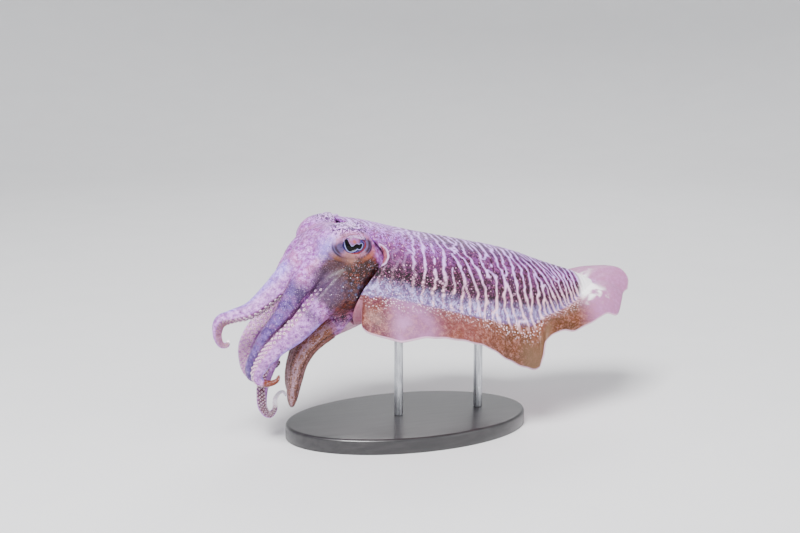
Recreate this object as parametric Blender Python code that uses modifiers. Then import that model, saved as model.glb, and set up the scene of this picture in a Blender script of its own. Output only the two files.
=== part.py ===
"""Common cuttlefish, a still life-size model on a plain display stand.

The animal swims with its head towards -X, its tail towards +X and its left side towards -Y.
The origin is the centre of the underside of the stand's base. Units are metres, +Z is up.
"""

import math
import random

import bmesh
import bpy
import numpy as np
from mathutils import Matrix, Quaternion, Vector
from mathutils.bvhtree import BVHTree

MM = 0.001
GAP = 0.35 * MM  # air between two pieces that touch
SLIVER = 0.02 * MM  # edges shorter than this are closed up after a cut
# How a cut or a union is made: the first pair of solver and least edge that leaves a closed mesh is kept.
SOLVERS = [("EXACT", SLIVER), ("EXACT", SLIVER / 20), ("MANIFOLD", SLIVER), ("MANIFOLD", SLIVER / 20)]

# The mantle, along its length from the tip of the front lobe (0) to the tail (1).
MANTLE_LENGTH = 185 * MM
MANTLE_FRONT = -49 * MM
MANTLE_RING_POINTS = 26
MANTLE_STATIONS = 19
MANTLE_FULLNESS = 0.82  # below 1 makes the cross-section fuller than an oval
MANTLE_CROWDING = 0.25  # how much closer the rings lie at the tail than on average
COLLAR_LIP = 2.6 * MM
COLLAR_ROUNDING = 0.8 * MM
COLLAR_WALL = 4.5 * MM
COLLAR_WALL_MIDDLE = 3.9 * MM
SOCKET_FLOOR = 0.165  # where the hollow that takes the neck ends
FIN_LINE_HEIGHT = [
    (0, 101), (0.1, 101), (0.25, 93), (0.45, 82.5), (0.65, 75.5), (0.8, 77), (0.92, 83), (1, 90),
]
DOME_HEIGHT = [
    (0, 47), (0.1, 43.5), (0.25, 44), (0.45, 46), (0.65, 44), (0.8, 32), (0.92, 18), (1, 4),
]
BELLY_DEPTH = [
    (0, 24), (0.1, 24), (0.25, 23), (0.45, 20), (0.65, 16.5), (0.8, 12.5), (0.92, 8), (1, 3.5),
]
HALF_WIDTH = [
    (0, 35), (0.1, 38.5), (0.25, 42), (0.45, 41), (0.65, 34.5), (0.8, 24.5), (0.92, 13), (1, 4.5),
]
# How far behind the lobe's tip the collar's edge lies, by degrees from the middle of the back.
COLLAR_EDGE = [
    (0, 0), (15, 0.02), (30, 0.07), (45, 0.108), (60, 0.105), (75, 0.07), (90, 0.03), (120, 0.012),
    (150, 0.03), (180, 0.05),
]

# The fins: for a place along the mantle, the fin's outer edge as X, distance from the middle and Z in mm.
FIN_ROOT_THICKNESS = 3.4 * MM
FIN_EDGE_THICKNESS = 0.9 * MM
FIN_FRONT = 0.035
FIN_TAIL = 1.04  # the fins run on round the tail and meet behind it
FIN_TAIL_REACH = 1.6 * MM
FIN_COLUMNS = 4
FIN_STATIONS = 36
FIN_TAIL_STATIONS = 6
FIN_BULGE = 0.16
FIN_RISE = (0, 0.6, 0.8)  # the way that a fin bulges, out and up
FIN_TAPER = 1.5
LEFT_FIN_EDGE = [
    (0.035, -50, 45.5, 90), (0.06, -47, 52, 83.5), (0.09, -40.5, 57.5, 80.5), (0.12, -32, 61.5, 78.5),
    (0.15, -26, 64, 77), (0.2, -16.5, 66, 79), (0.27, -3, 65, 78), (0.36, 17.5, 60, 73),
    (0.45, 35.5, 54, 66), (0.54, 52, 49, 55), (0.62, 66.5, 46, 47.5), (0.685, 76, 46, 46.5),
    (0.71, 78, 48, 55), (0.735, 79, 49.5, 65), (0.79, 91, 45, 70), (0.86, 105, 40, 68),
    (0.91, 118, 36, 71), (0.95, 128, 32, 73.5), (0.98, 136, 28, 75), (1, 146, 24, 72.5),
    (1.015, 154.5, 14, 80), (1.028, 159, 6, 83), (1.04, 165, 0.6, 84),
]
RIGHT_FIN_EDGE = [
    (0.035, -46, 50, 88), (0.1, -33, 62, 84), (0.18, -16, 66, 74), (0.28, 3, 64, 70), (0.38, 22, 66, 78),
    (0.5, 45, 65, 84), (0.6, 62, 57, 76), (0.68, 76, 50, 66), (0.76, 90, 48, 66), (0.84, 105, 44, 77),
    (0.91, 121, 38, 89), (0.96, 138, 29, 96), (1, 151, 25, 97.5), (1.012, 161, 19, 98),
    (1.022, 168, 13, 96.5), (1.032, 171.5, 7, 92), (1.04, 170, 0.6, 85),
]

# The head: rounded masses as centre and half sizes in mm, for the middle and for each side.
HEAD_MASSES = [
    ((-36, 0, 112), (22, 32, 29)), ((-56, 0, 118), (22, 25, 26)), ((-60, 0, 107), (18, 24, 23)),
    ((-48, 0, 97), (19, 23, 19)),
]
HEAD_SIDE_MASSES = [
    ((-50.5, 20.5, 132.8), (20.3, 14.2, 14.8)), ((-56, 17, 107), (18, 17, 21)),
    ((-41, 21, 112), (17, 16, 22)),
]
HEAD_VOXEL = 2.2 * MM
HEAD_SMOOTHING = 10
HEAD_TRIANGLES = 900
EYE_CENTRE = (-46, 22.5, 133)
EYE_RADIUS = 10.7 * MM
EYE_LOOKS = (-0.22, 0.96, 0.14)
EYE_OPENING = (9.6 * MM, 6.4 * MM)
EYE_OPENING_FLARE = 1.35
LID_RADIUS = 1.6 * MM
LID_POINTS = 20
# The W of the pupil: for a share of its length from the front end, how far forward and up it lies as shares
# of the eye's radius, and half its width in mm.
PUPIL_LINE = [
    (0, 0.385, 0.25, 1), (0.14, 0.3, -0.02, 1.4), (0.3, 0.155, -0.24, 1.5), (0.45, -0.1, -0.2, 1.3),
    (0.6, -0.25, -0.06, 1.1), (0.8, -0.425, -0.14, 1.2), (1, -0.54, -0.01, 0.7),
]
PUPIL_STATIONS = 17
PUPIL_THICKNESS = 0.6 * MM
# The small skin papilla on each brow, as side, place, height and root radius in mm.
BROW_PAPILLAE = [(-1, (-41, 22, 143.2), 5, 1.8), (1, (-48, 22, 144.7), 5.5, 1.9)]
PAPILLA_SIDES = 6

# The arms: X, distance from the middle, Z and radius in mm along the middle of each, from root to tip.
CROWN_CENTRE = (-72, 0, 109)
ARM_RING_POINTS = 8
ARM_FLAT = 0.72  # height of the sucker face over the middle, as a share of the radius
ARMS = {
    "arm_left_1": (-1, [
        (-58, 9, 132, 9.4), (-70, 9.5, 127, 9), (-75, 9.5, 123.5, 8.7), (-83, 10, 115.5, 7.9),
        (-95, 10.5, 103, 7.3), (-108.5, 11.5, 93, 5.8), (-121.5, 12.5, 90, 4.4), (-129.5, 13, 87.5, 3.9),
        (-131.6, 13, 79.7, 2.8), (-129.5, 13, 73, 2.1), (-125.5, 13, 72, 1.6), (-124.5, 13, 75.5, 1.1),
    ]),
    "arm_left_2": (-1, [
        (-56, 20, 126, 10), (-66, 21, 121, 9.6), (-74, 21.5, 114, 8.6), (-82.5, 21.5, 103, 7.1),
        (-91, 21, 90.5, 5.8), (-100.5, 19, 78, 4.7), (-107, 16, 66.5, 3.9), (-110.8, 12, 57, 3),
        (-110, 8, 49, 2.1), (-105.5, 5, 44.5, 1.3),
    ]),
    "arm_left_3": (-1, [
        (-48, 21.5, 113, 12.5), (-60, 24, 104, 12.5), (-73.5, 26, 93, 10.4), (-85, 27, 81.5, 8.4),
        (-96, 26, 72.5, 6.6), (-104, 24, 63, 5.2), (-108.7, 22, 54.7, 4.2), (-108, 22, 49.4, 3.3),
        (-102, 23, 47, 2.3), (-96.5, 24, 48.8, 1.6), (-95, 24, 52.6, 1.1),
    ]),
    "arm_left_4": (-1, [
        (-37, 12.5, 93, 9), (-50, 13.5, 84, 9), (-62.5, 14, 77, 8.4), (-73, 15, 69, 7.6),
        (-79.5, 15, 58.5, 6.4), (-82, 14, 46.5, 5.2), (-83.4, 13, 35.5, 3.7), (-84, 12, 26.5, 1.3),
    ]),
    "arm_right_1": (1, [
        (-58, 9, 132, 9.4), (-70, 9.5, 125, 8.8), (-78, 10.5, 112, 7.4), (-85, 12.5, 96, 6.2),
        (-92, 13.5, 83, 5.6), (-101, 13, 75, 5.3), (-107.6, 11, 65, 4.8), (-109.2, 8, 55.6, 4),
        (-107.9, 6, 48, 2.9), (-102.7, 6, 43.4, 1.6),
    ]),
    "arm_right_2": (1, [
        (-56, 20, 126, 10), (-66, 22, 120, 9.4), (-73.5, 23.5, 112, 8.2), (-80, 24, 100, 6.8),
        (-86.5, 24.5, 86, 5.8), (-91.5, 23.5, 73, 4.8), (-93.5, 22, 61, 3.9), (-92, 21, 51, 2.9),
        (-87, 20, 46.5, 2), (-82.5, 20, 49.5, 1.3),
    ]),
    "arm_right_3": (1, [
        (-48, 21.5, 113, 12.5), (-58, 24.5, 103, 12), (-67.5, 25, 89, 9.4), (-76.5, 20, 74.5, 6.6),
        (-85.4, 14, 62, 4.8), (-92, 10, 50, 4.1), (-97.4, 6, 40, 3.8), (-99.6, 3.5, 32, 3.5),
        (-99.5, 2.5, 24, 3), (-95.6, 2, 18.9, 2.3), (-91.6, 2, 22, 1.7), (-91.2, 2, 28.5, 1.5),
        (-88.7, 2, 32.6, 1.3), (-85.6, 2, 33.2, 1.2), (-83.6, 2, 30, 1),
    ]),
    "arm_right_4": (1, [
        (-37, 12.5, 93, 9), (-48.5, 13.5, 82.5, 9), (-58, 14.5, 74, 8), (-67, 15, 63.5, 7),
        (-73.3, 15, 51.5, 5.6), (-77, 14.5, 40.5, 4), (-79, 14, 30, 1.3),
    ]),
}
# Where the lengths of an arm start, as shares of its length. The two lowest arms are shorter and barely bend.
ARM_LENGTHS = {"base": 0, "middle": 0.44, "tip": 0.73}
LOWEST_ARM_LENGTHS = {"base": 0, "tip": 0.56}
LOWEST_ARMS = ("arm_left_4", "arm_right_4")
# How far the sucker side turns about an arm, in degrees, for a share of its length.
NO_TWIST = [(0, 0), (1, 0)]
ARM_TWISTS = {
    "arm_left_1": [(0, 0), (0.3, 35), (0.5, 64), (0.72, 66), (0.85, 105), (1, 115)],
    "arm_left_3": [(0, -60), (0.3, -70), (1, -76)],
    "arm_left_4": [(0, 80), (1, 90)],
    "arm_right_1": [(0, 50), (0.3, 80), (1, 84)],
    "arm_right_3": [(0, 40), (0.4, 34), (0.66, 28), (0.8, -28), (1, -32)],
    "arm_right_4": [(0, -80), (1, -90)],
}
KEEL = 1.12  # how far the lowest arms' outer edge stands out, against a round arm
KEEL_FROM = 0.8
ARM_RING_STEP = 0.95  # along the arm, as a share of the arm's radius
ARM_LEAST_STEP = 1.6 * MM
ARM_TIP_SHARE = 0.6

# The suckers, in two rows along the inner face of each arm, sized by the arm where they stand.
SUCKER_SIZE = 0.36  # rim radius as a share of the arm's radius
SUCKER_SPACING = 1.42  # along the arm, as a share of the arm's radius
SUCKER_ROW_ANGLE = math.radians(38)
SUCKER_LEAST_RADIUS = 0.7 * MM
SUCKER_HEIGHT = 0.75  # over the skin, as a share of the rim radius
SUCKER_ROOT = 0.9  # how deep the root is sunk, as a share of the rim radius
SUCKER_LEAST_ROOT = 0.2  # the same, as a share of the arm's radius
SUCKER_STALK = 0.72  # the stalk's radius as a share of the rim's
SUCKER_DIMPLE = 0.45
SUCKER_SIDES = 6
SUCKER_VARIATION = 0.1
SUCKER_SEED = 7

# Under the head: the funnel, and the lips in the middle of the arms.
FUNNEL_PATH = [
    (-27, 0, 86, 9), (-36, 0, 81, 8), (-45, 0, 76, 6.2), (-54, 0, 71.5, 4.8),
]
FUNNEL_SIDES = 14
FUNNEL_FLAT = 0.8
FUNNEL_BORE = [(0, 0.62), (9, 0.5)]  # for a depth in mm, the bore's radius as a share of the funnel's
MOUTH_CENTRE = (-76, 0, 92)
MOUTH_RADII = (8, 8, 8)
MOUTH_PIT = ((-82.5, 0, 85.5), (3.2, 3.2, 3.2))

# The stand: an oval base and two rods up to the belly.
BASE_LENGTH = 168 * MM
BASE_WIDTH = 104 * MM
BASE_HEIGHT = 10 * MM
BASE_EDGE = 2 * MM
BASE_SIDES = 40
ROD_RADIUS = 3 * MM
ROD_SIDES = 16
ROD_TOP = 90 * MM  # inside the belly, before the rod is cut to it
ROD_PLACES = {"stand_rod_front": -6 * MM, "stand_rod_rear": 52 * MM}

MATERIALS = {
    "mantle_skin": ((0.42, 0.27, 0.38), 0.45, 0),
    "fin_skin": ((0.72, 0.52, 0.50), 0.4, 0),
    "head_skin": ((0.62, 0.45, 0.50), 0.42, 0),
    "arm_skin": ((0.68, 0.52, 0.62), 0.4, 0),
    "sucker_skin": ((0.86, 0.74, 0.80), 0.4, 0),
    "eye_globe": ((0.62, 0.62, 0.72), 0.12, 0),
    "pupil": ((0.01, 0.01, 0.02), 0.15, 0),
    "stand_base": ((0.06, 0.06, 0.07), 0.45, 0),
    "stand_rod": ((0.62, 0.62, 0.64), 0.25, 1),
}


def material(name):
    """The material of that name, made at its first use."""
    found = bpy.data.materials.get(name)
    if found:
        return found
    colour, roughness, metallic = MATERIALS[name]
    made = bpy.data.materials.new(name)
    made.use_nodes = True
    shader = made.node_tree.nodes["Principled BSDF"]
    shader.inputs["Base Color"].default_value = (*colour, 1)
    shader.inputs["Roughness"].default_value = roughness
    shader.inputs["Metallic"].default_value = metallic
    made.diffuse_color = (*colour, 1)
    return made


def profile(points, at):
    """The value at a place on a smooth curve through (place, value) points; the value may be a vector."""
    places = [p[0] for p in points]
    values = [np.array(p[1:], float) for p in points]
    at = min(max(at, places[0]), places[-1])
    i = min(max(int(np.searchsorted(places, at)) - 1, 0), len(points) - 2)

    def slope(k):
        low, high = max(k - 1, 0), min(k + 1, len(points) - 1)
        return (values[high] - values[low]) / (places[high] - places[low])

    width = places[i + 1] - places[i]
    t = (at - places[i]) / width
    value = (values[i] * (2 * t**3 - 3 * t**2 + 1) + values[i + 1] * (3 * t**2 - 2 * t**3)
             + width * (slope(i) * (t**3 - 2 * t**2 + t) + slope(i + 1) * (t**3 - t**2)))
    return float(value[0]) if len(value) == 1 else value


def add_object(name, vertices, faces, kind, collection, smooth=True):
    """A mesh object from its points and like-turned faces, turned outwards as a whole."""
    mesh = bpy.data.meshes.new(name)
    mesh.from_pydata([tuple(v) for v in vertices], [], faces)
    bm = bmesh.new()
    bm.from_mesh(mesh)
    if bm.calc_volume(signed=True) < 0:
        bmesh.ops.reverse_faces(bm, faces=bm.faces)
    bmesh.ops.triangulate(bm, faces=[f for f in bm.faces if len(f.verts) > 3])
    bm.to_mesh(mesh)
    bm.free()
    mesh.materials.append(material(kind))
    if smooth:
        mesh.shade_smooth()
    made = bpy.data.objects.new(name, mesh)
    collection.objects.link(made)
    return made


def loft(name, rings, kind, collection):
    """A closed skin over rings of equally many points, flat at both ends."""
    count = len(rings[0])
    vertices = [p for ring in rings for p in ring]
    faces = [list(range(count))[::-1], list(range((len(rings) - 1) * count, len(rings) * count))]
    for i in range(len(rings) - 1):
        for j in range(count):
            k = (j + 1) % count
            faces.append([i * count + j, i * count + k, (i + 1) * count + k, (i + 1) * count + j])
    return add_object(name, vertices, faces, kind, collection)


def sheet(name, upper, lower, kind, collection):
    """A thin closed solid between two grids of points, cut into triangles alike on both faces."""
    rows, columns = len(upper), len(upper[0])
    vertices = [p for row in upper for p in row] + [p for row in lower for p in row]
    under = rows * columns
    faces = []
    for i in range(rows - 1):
        for j in range(columns - 1):
            a, b = i * columns + j, (i + 1) * columns + j
            faces += [[a, b, b + 1], [a, b + 1, a + 1]]
            faces += [[under + a, under + b + 1, under + b], [under + a, under + a + 1, under + b + 1]]
    rim = [i * columns for i in range(rows)]
    rim += [(rows - 1) * columns + j for j in range(1, columns)]
    rim += [i * columns + columns - 1 for i in range(rows - 2, -1, -1)]
    rim += [j for j in range(columns - 2, 0, -1)]
    for a, b in zip(rim, rim[1:] + rim[:1]):
        faces += [[b, a, under + a], [b, under + a, under + b]]
    return add_object(name, vertices, faces, kind, collection)


def evaluated_mesh(obj):
    """The mesh of an object as its modifiers leave it."""
    graph = bpy.context.evaluated_depsgraph_get()
    return bpy.data.meshes.new_from_object(obj.evaluated_get(graph), depsgraph=graph)


def apply_modifiers(obj):
    mesh = evaluated_mesh(obj)
    obj.modifiers.clear()
    obj.data = mesh


def without_slivers(mesh, least):
    """A mesh in triangles with its edges under a length closed up, or none where it isn't closed."""
    bm = bmesh.new()
    bm.from_mesh(mesh)
    bmesh.ops.triangulate(bm, faces=bm.faces)
    bmesh.ops.remove_doubles(bm, verts=bm.verts, dist=least)
    bmesh.ops.dissolve_degenerate(bm, edges=bm.edges, dist=least)
    bmesh.ops.triangulate(bm, faces=bm.faces)
    if bm.faces and all(len(edge.link_faces) == 2 for edge in bm.edges):
        return bm
    bm.free()
    return None


def keep_largest(bm):
    """Drops every loose surface but the largest, such as a scrap that a cut leaves."""
    left, islands = set(bm.verts), []
    while left:
        island, edge = set(), [left.pop()]
        while edge:
            vertex = edge.pop()
            island.add(vertex)
            for link in vertex.link_edges:
                other = link.other_vert(vertex)
                if other in left:
                    left.discard(other)
                    edge.append(other)
        islands.append(island)
    islands.sort(key=len)
    bmesh.ops.delete(bm, geom=[v for island in islands[:-1] for v in island], context="VERTS")


def combine(obj, others, operation):
    """One Boolean of an object with a collection of others, applied; the others are then removed."""
    if not others:
        return obj
    tools = bpy.data.collections.new("tools")
    bpy.context.scene.collection.children.link(tools)
    for other in others:
        for home in list(other.users_collection):
            home.objects.unlink(other)
        tools.objects.link(other)
    boolean = obj.modifiers.new(operation.lower(), "BOOLEAN")
    boolean.operation = operation
    boolean.operand_type = "COLLECTION"
    boolean.collection = tools
    bm = None
    for solver, least in SOLVERS:
        boolean.solver = solver
        bm = bm or without_slivers(evaluated_mesh(obj), least)
    keep_largest(bm)
    obj.modifiers.clear()
    bm.to_mesh(obj.data)
    bm.free()
    for other in others:
        bpy.data.objects.remove(other)
    bpy.data.collections.remove(tools)
    return obj


def grown_copy(obj, by):
    """A copy of an object whose surface lies further out by a small distance."""
    copy = obj.copy()
    copy.data = obj.data.copy()
    bpy.context.scene.collection.objects.link(copy)
    swell = copy.modifiers.new("swell", "DISPLACE")
    swell.strength = by
    swell.mid_level = 0
    apply_modifiers(copy)
    return copy


def ellipsoid(centre, radii, collection, segments=18):
    bm = bmesh.new()
    bmesh.ops.create_uvsphere(bm, u_segments=segments, v_segments=segments // 2, radius=1)
    for vertex in bm.verts:
        vertex.co = Vector([c * MM + r * MM * v for c, r, v in zip(centre, radii, vertex.co)])
    mesh = bpy.data.meshes.new("mass")
    bm.to_mesh(mesh)
    bm.free()
    made = bpy.data.objects.new("mass", mesh)
    collection.objects.link(made)
    return made


def collar_edge(angle):
    """How far behind the lobe's tip the collar's edge lies at an angle round the mantle, left side 0."""
    from_back = abs((math.degrees(angle) - 90 + 180) % 360 - 180)
    return profile(COLLAR_EDGE, from_back)


def mantle_point(place, angle, inset=0.0):
    """A point of the mantle's surface, or of the same shape drawn in by the inset."""
    up, out = math.sin(angle), -math.cos(angle)
    out = math.copysign(abs(out) ** MANTLE_FULLNESS, out)
    reach = profile(DOME_HEIGHT if up > 0 else BELLY_DEPTH, place) * MM - inset
    return Vector((MANTLE_FRONT + place * MANTLE_LENGTH, out * (profile(HALF_WIDTH, place) * MM - inset),
                   profile(FIN_LINE_HEIGHT, place) * MM + up * reach))


def mantle_ring(share, inset=0.0, forward=0.0, floor=None):
    """A ring at a share of the way from the collar's edge to the tail, or to the socket's floor."""
    ring = []
    for j in range(MANTLE_RING_POINTS):
        angle = 2 * math.pi * j / MANTLE_RING_POINTS
        edge = collar_edge(angle)
        place = edge + ((floor or 1) - edge) * share
        ring.append(mantle_point(place, angle, inset) + Vector((forward, 0, 0)))
    return ring


def make_mantle(collection):
    rings = [mantle_ring(1, COLLAR_WALL, floor=SOCKET_FLOOR),
             mantle_ring(0.5, COLLAR_WALL_MIDDLE, floor=SOCKET_FLOOR),
             mantle_ring(0, COLLAR_LIP),
             mantle_ring(0, COLLAR_LIP / 2, -COLLAR_ROUNDING)]
    for i in range(MANTLE_STATIONS + 1):
        along = i / MANTLE_STATIONS
        rings.append(mantle_ring(along * (1 + MANTLE_CROWDING - MANTLE_CROWDING * along)))
    return loft("mantle", rings, "mantle_skin", collection)


def fin_root(place, side):
    """The middle of a fin's root: along the mantle's side, then round the tail to the middle plane."""
    tail = mantle_point(1, 0)
    beyond = max(place - 1, 0) / (FIN_TAIL - 1)
    base = mantle_point(min(place, 1), 0)
    half = abs(base.y) + GAP
    if beyond > 0:
        half = max((abs(tail.y) + GAP) * math.cos(beyond * math.pi / 2), GAP)
    return Vector((base.x + FIN_TAIL_REACH * math.sin(beyond * math.pi / 2), side * half, base.z))


def fin_middle(place, side, edge_points):
    """The points across a fin from its root to its edge, half way through its thickness."""
    root = fin_root(place, side)
    x, out, z = profile(edge_points, place)
    edge = Vector((x * MM, side * max(out * MM, GAP), z * MM))
    across = edge - root
    rise = Vector(mirrored(FIN_RISE, side))
    if abs(across.y) < FIN_ROOT_THICKNESS:
        rise.y = 0
    rise -= across * (rise.dot(across) / across.length_squared)
    row = []
    for j in range(FIN_COLUMNS):
        share = j / (FIN_COLUMNS - 1)
        row.append(root + across * share + rise * (4 * FIN_BULGE * across.length * share * (1 - share)))
    return row


def make_fin(name, side, edge_points, collection):
    places = list(np.linspace(FIN_FRONT, 1, FIN_STATIONS))
    places += list(np.linspace(1, FIN_TAIL, FIN_TAIL_STATIONS + 1))[1:]
    middle = [fin_middle(place, side, edge_points) for place in places]
    upper, lower = [], []
    for i, row in enumerate(middle):
        before, after = middle[max(i - 1, 0)], middle[min(i + 1, len(middle) - 1)]
        top, bottom = [], []
        for j, point in enumerate(row):
            inward = (1 - j / (FIN_COLUMNS - 1)) ** FIN_TAPER
            half = (FIN_ROOT_THICKNESS * inward + FIN_EDGE_THICKNESS * (1 - inward)) / 2
            inner, outer = row[max(j - 1, 0)], row[min(j + 1, FIN_COLUMNS - 1)]
            normal = (after[j] - before[j]).cross(outer - inner).normalized() * side
            if j == 0 or i == len(middle) - 1:
                normal = Vector((0, 0, 1))
            top.append(point + normal * half)
            bottom.append(point - normal * half)
        upper.append(top)
        lower.append(bottom)
    return sheet(name, upper, lower, "fin_skin", collection)


def arm_line(side, points):
    """Even fine steps along the middle of an arm: places, radii and lengths from the root."""
    steps = np.arange(len(points))
    control = [(k, x * MM, side * y * MM, z * MM, r * MM) for k, (x, y, z, r) in zip(steps, points)]
    fine = np.array([profile(control, t) for t in np.linspace(0, len(points) - 1, 24 * len(points))])
    lengths = np.concatenate([[0], np.cumsum(np.linalg.norm(np.diff(fine[:, :3], axis=0), axis=1))])
    return fine[:, :3], fine[:, 3], lengths


class Arm:
    """The line of an arm with the direction that its suckers face, carried along without twist."""

    def __init__(self, side, points, twists=NO_TWIST):
        self.places, self.radii, self.lengths = arm_line(side, points)
        self.length = self.lengths[-1]
        tangents = np.gradient(self.places, self.lengths, axis=0)
        self.tangents = tangents / np.linalg.norm(tangents, axis=1)[:, None]
        facing = Vector(np.array(CROWN_CENTRE) * MM - self.places[0])
        start = Vector(self.tangents[0])
        facing = np.array(facing - start * facing.dot(start))
        self.faces = []
        for tangent, length in zip(self.tangents, self.lengths):
            facing = facing - tangent * (facing @ tangent)
            facing = facing / np.linalg.norm(facing)
            turn = Quaternion(tangent, math.radians(profile(twists, length / self.length)))
            self.faces.append(turn @ Vector(facing))
        self.faces = np.array(self.faces)

    def at(self, length):
        """Middle, radius, direction and sucker side at a length from the root."""
        place = np.array([np.interp(length, self.lengths, self.places[:, k]) for k in range(3)])
        tangent = np.array([np.interp(length, self.lengths, self.tangents[:, k]) for k in range(3)])
        face = np.array([np.interp(length, self.lengths, self.faces[:, k]) for k in range(3)])
        tangent /= np.linalg.norm(tangent)
        face -= tangent * (face @ tangent)
        return place, float(np.interp(length, self.lengths, self.radii)), tangent, face / np.linalg.norm(face)


def pressed(point, place, radius, others):
    """A point of an arm's skin held back to the plane where the arm presses on another arm."""
    for other in others:
        away = other.places - place
        nearest = int(np.argmin(np.einsum("ij,ij->i", away, away)))
        gap = away[nearest]
        distance = np.linalg.norm(gap)
        if distance > (radius + other.radii[nearest]) * 1.5:
            continue
        normal = gap / distance
        limit = distance * radius / (radius + other.radii[nearest]) - GAP * 0.6
        over = (point - place) @ normal - limit
        if over > 0:
            point = point - normal * over
    return point


def arm_ring(arm, length, others, keel):
    place, radius, tangent, face = arm.at(length)
    across = np.cross(tangent, face)
    ring = []
    for j in range(ARM_RING_POINTS):
        angle = 2 * math.pi * (j + 0.5) / ARM_RING_POINTS
        towards = min(math.cos(angle), ARM_FLAT)
        if keel and towards < -KEEL_FROM:
            towards *= KEEL
        point = place + face * (towards * radius) + across * (math.sin(angle) * radius)
        ring.append(Vector(pressed(point, place, radius, others)))
    return ring


def arm_length_solid(name, arm, start, end, others, keel, collection):
    stations, length = [start], start
    while length < end:
        step = max(ARM_RING_STEP * arm.at(length)[1], ARM_LEAST_STEP)
        length = end if length + 1.5 * step > end else length + step
        stations.append(length)
    rings = [arm_ring(arm, length, others, keel) for length in stations]
    if end >= arm.length:
        place = arm.at(end)[0]
        rings[-1] = [Vector(place + (np.array(p) - place) * ARM_TIP_SHARE) for p in rings[-1]]
    return loft(name, rings, "arm_skin", collection)


def arm_suckers(arm, start, end, others, neighbours, chance):
    """The suckers of one length of an arm, left out where there is no room for them."""
    cups, length = [], start + 0.8 * arm.at(start)[1]
    while True:
        place, radius, tangent, face = arm.at(length)
        if length > end - 0.8 * radius or length > arm.length - 1.2 * MM:
            return cups
        across = np.cross(tangent, face)
        for row in (-1, 1):
            rim = max(SUCKER_SIZE * radius, SUCKER_LEAST_RADIUS) * chance.uniform(1 - SUCKER_VARIATION, 1)
            angle = SUCKER_ROW_ANGLE * chance.uniform(1 - SUCKER_VARIATION, 1 + SUCKER_VARIATION)
            out = face * math.cos(angle) + across * (row * math.sin(angle))
            skin = radius * min(1, ARM_FLAT / math.cos(angle))
            root = max(SUCKER_ROOT * rim, SUCKER_LEAST_ROOT * radius)
            middle = place + out * (skin + (SUCKER_HEIGHT * rim - root) / 2)
            top = place + out * (skin + SUCKER_HEIGHT * rim)
            if has_room(Vector(top), rim, length, arm, others, neighbours):
                cups.append(cone("sucker", middle, out, SUCKER_STALK * rim, rim, SUCKER_HEIGHT * rim + root,
                                 SUCKER_SIDES, dimple=SUCKER_DIMPLE * rim))
        length += max(SUCKER_SPACING * radius, 2.6 * SUCKER_LEAST_RADIUS)


def has_room(top, rim, length, arm, others, neighbours):
    """Whether a sucker's rim stays clear of the other arms, the head's pieces and its own arm's coils."""
    reach = rim + 2 * GAP
    for other in others:
        if np.min(np.linalg.norm(other.places - np.array(top), axis=1) - other.radii) < reach:
            return False
    coils = np.abs(arm.lengths - length) > 3.2 * arm.at(length)[1] + 2 * MM
    distances = np.linalg.norm(arm.places - np.array(top), axis=1) - arm.radii
    if coils.any() and np.min(distances[coils]) < reach:
        return False
    for neighbour in neighbours:
        if neighbour.find_nearest(top)[3] < reach:
            return False
    return True


def make_arms(head, neighbours, collection):
    """Each arm in its lengths with their suckers, the base cut to the head and the pieces near it."""
    arms = {name: Arm(side, points, ARM_TWISTS.get(name, NO_TWIST)) for name, (side, points) in ARMS.items()}
    trees = [BVHTree.FromObject(obj, bpy.context.evaluated_depsgraph_get()) for obj in (head, *neighbours)]
    chance = random.Random(SUCKER_SEED)
    origins = {}
    for name, arm in arms.items():
        others = [other for key, other in arms.items() if key != name]
        lowest = name in LOWEST_ARMS
        starts = LOWEST_ARM_LENGTHS if lowest else ARM_LENGTHS
        hidden = [length for length, place in zip(arm.lengths, arm.places) if inside(Vector(place), trees[0])]
        for (word, start), end in zip(starts.items(), [*list(starts.values())[1:], 1]):
            first = start * arm.length + (GAP if start else 0)
            last = end * arm.length
            solid = arm_length_solid(f"{name}_{word}", arm, first, last, others, lowest, collection)
            if not start:
                combine(solid, [grown_copy(obj, GAP) for obj in (head, *neighbours)], "DIFFERENCE")
            cups = arm_suckers(arm, max(first, *hidden), last, others, trees, chance)
            combine(solid, cups, "UNION")
            origins[solid] = Vector(arm.at(first)[0])
    return origins


def inside(point, tree):
    """Whether a point lies under the surface of a closed mesh."""
    nearest, normal = tree.find_nearest(point)[:2]
    return (point - nearest).dot(normal) < 0


def mirrored(point, side):
    return (point[0], side * point[1], point[2])


def eye_frame(side):
    """The eye's middle and its three directions: outwards, forwards along the opening, and up."""
    centre = Vector(mirrored(EYE_CENTRE, side)) * MM
    out = Vector(mirrored(EYE_LOOKS, side)).normalized()
    up = (Vector((0, 0, 1)) - out * out.z).normalized()
    return centre, out, up.cross(out) * side, up


def eye_opening_tool(side, collection):
    """An oval bar that cuts the opening between the lids."""
    centre, out, along, up = eye_frame(side)
    rings = []
    for reach, flare in ((0.35 * EYE_RADIUS, 1), (2.6 * EYE_RADIUS, EYE_OPENING_FLARE)):
        ring = []
        for j in range(LID_POINTS):
            angle = 2 * math.pi * j / LID_POINTS
            ring.append(centre + out * reach + along * (math.cos(angle) * EYE_OPENING[0] * flare)
                        + up * (math.sin(angle) * EYE_OPENING[1] * flare))
        rings.append(ring)
    return loft("opening", rings, "head_skin", collection)


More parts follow.
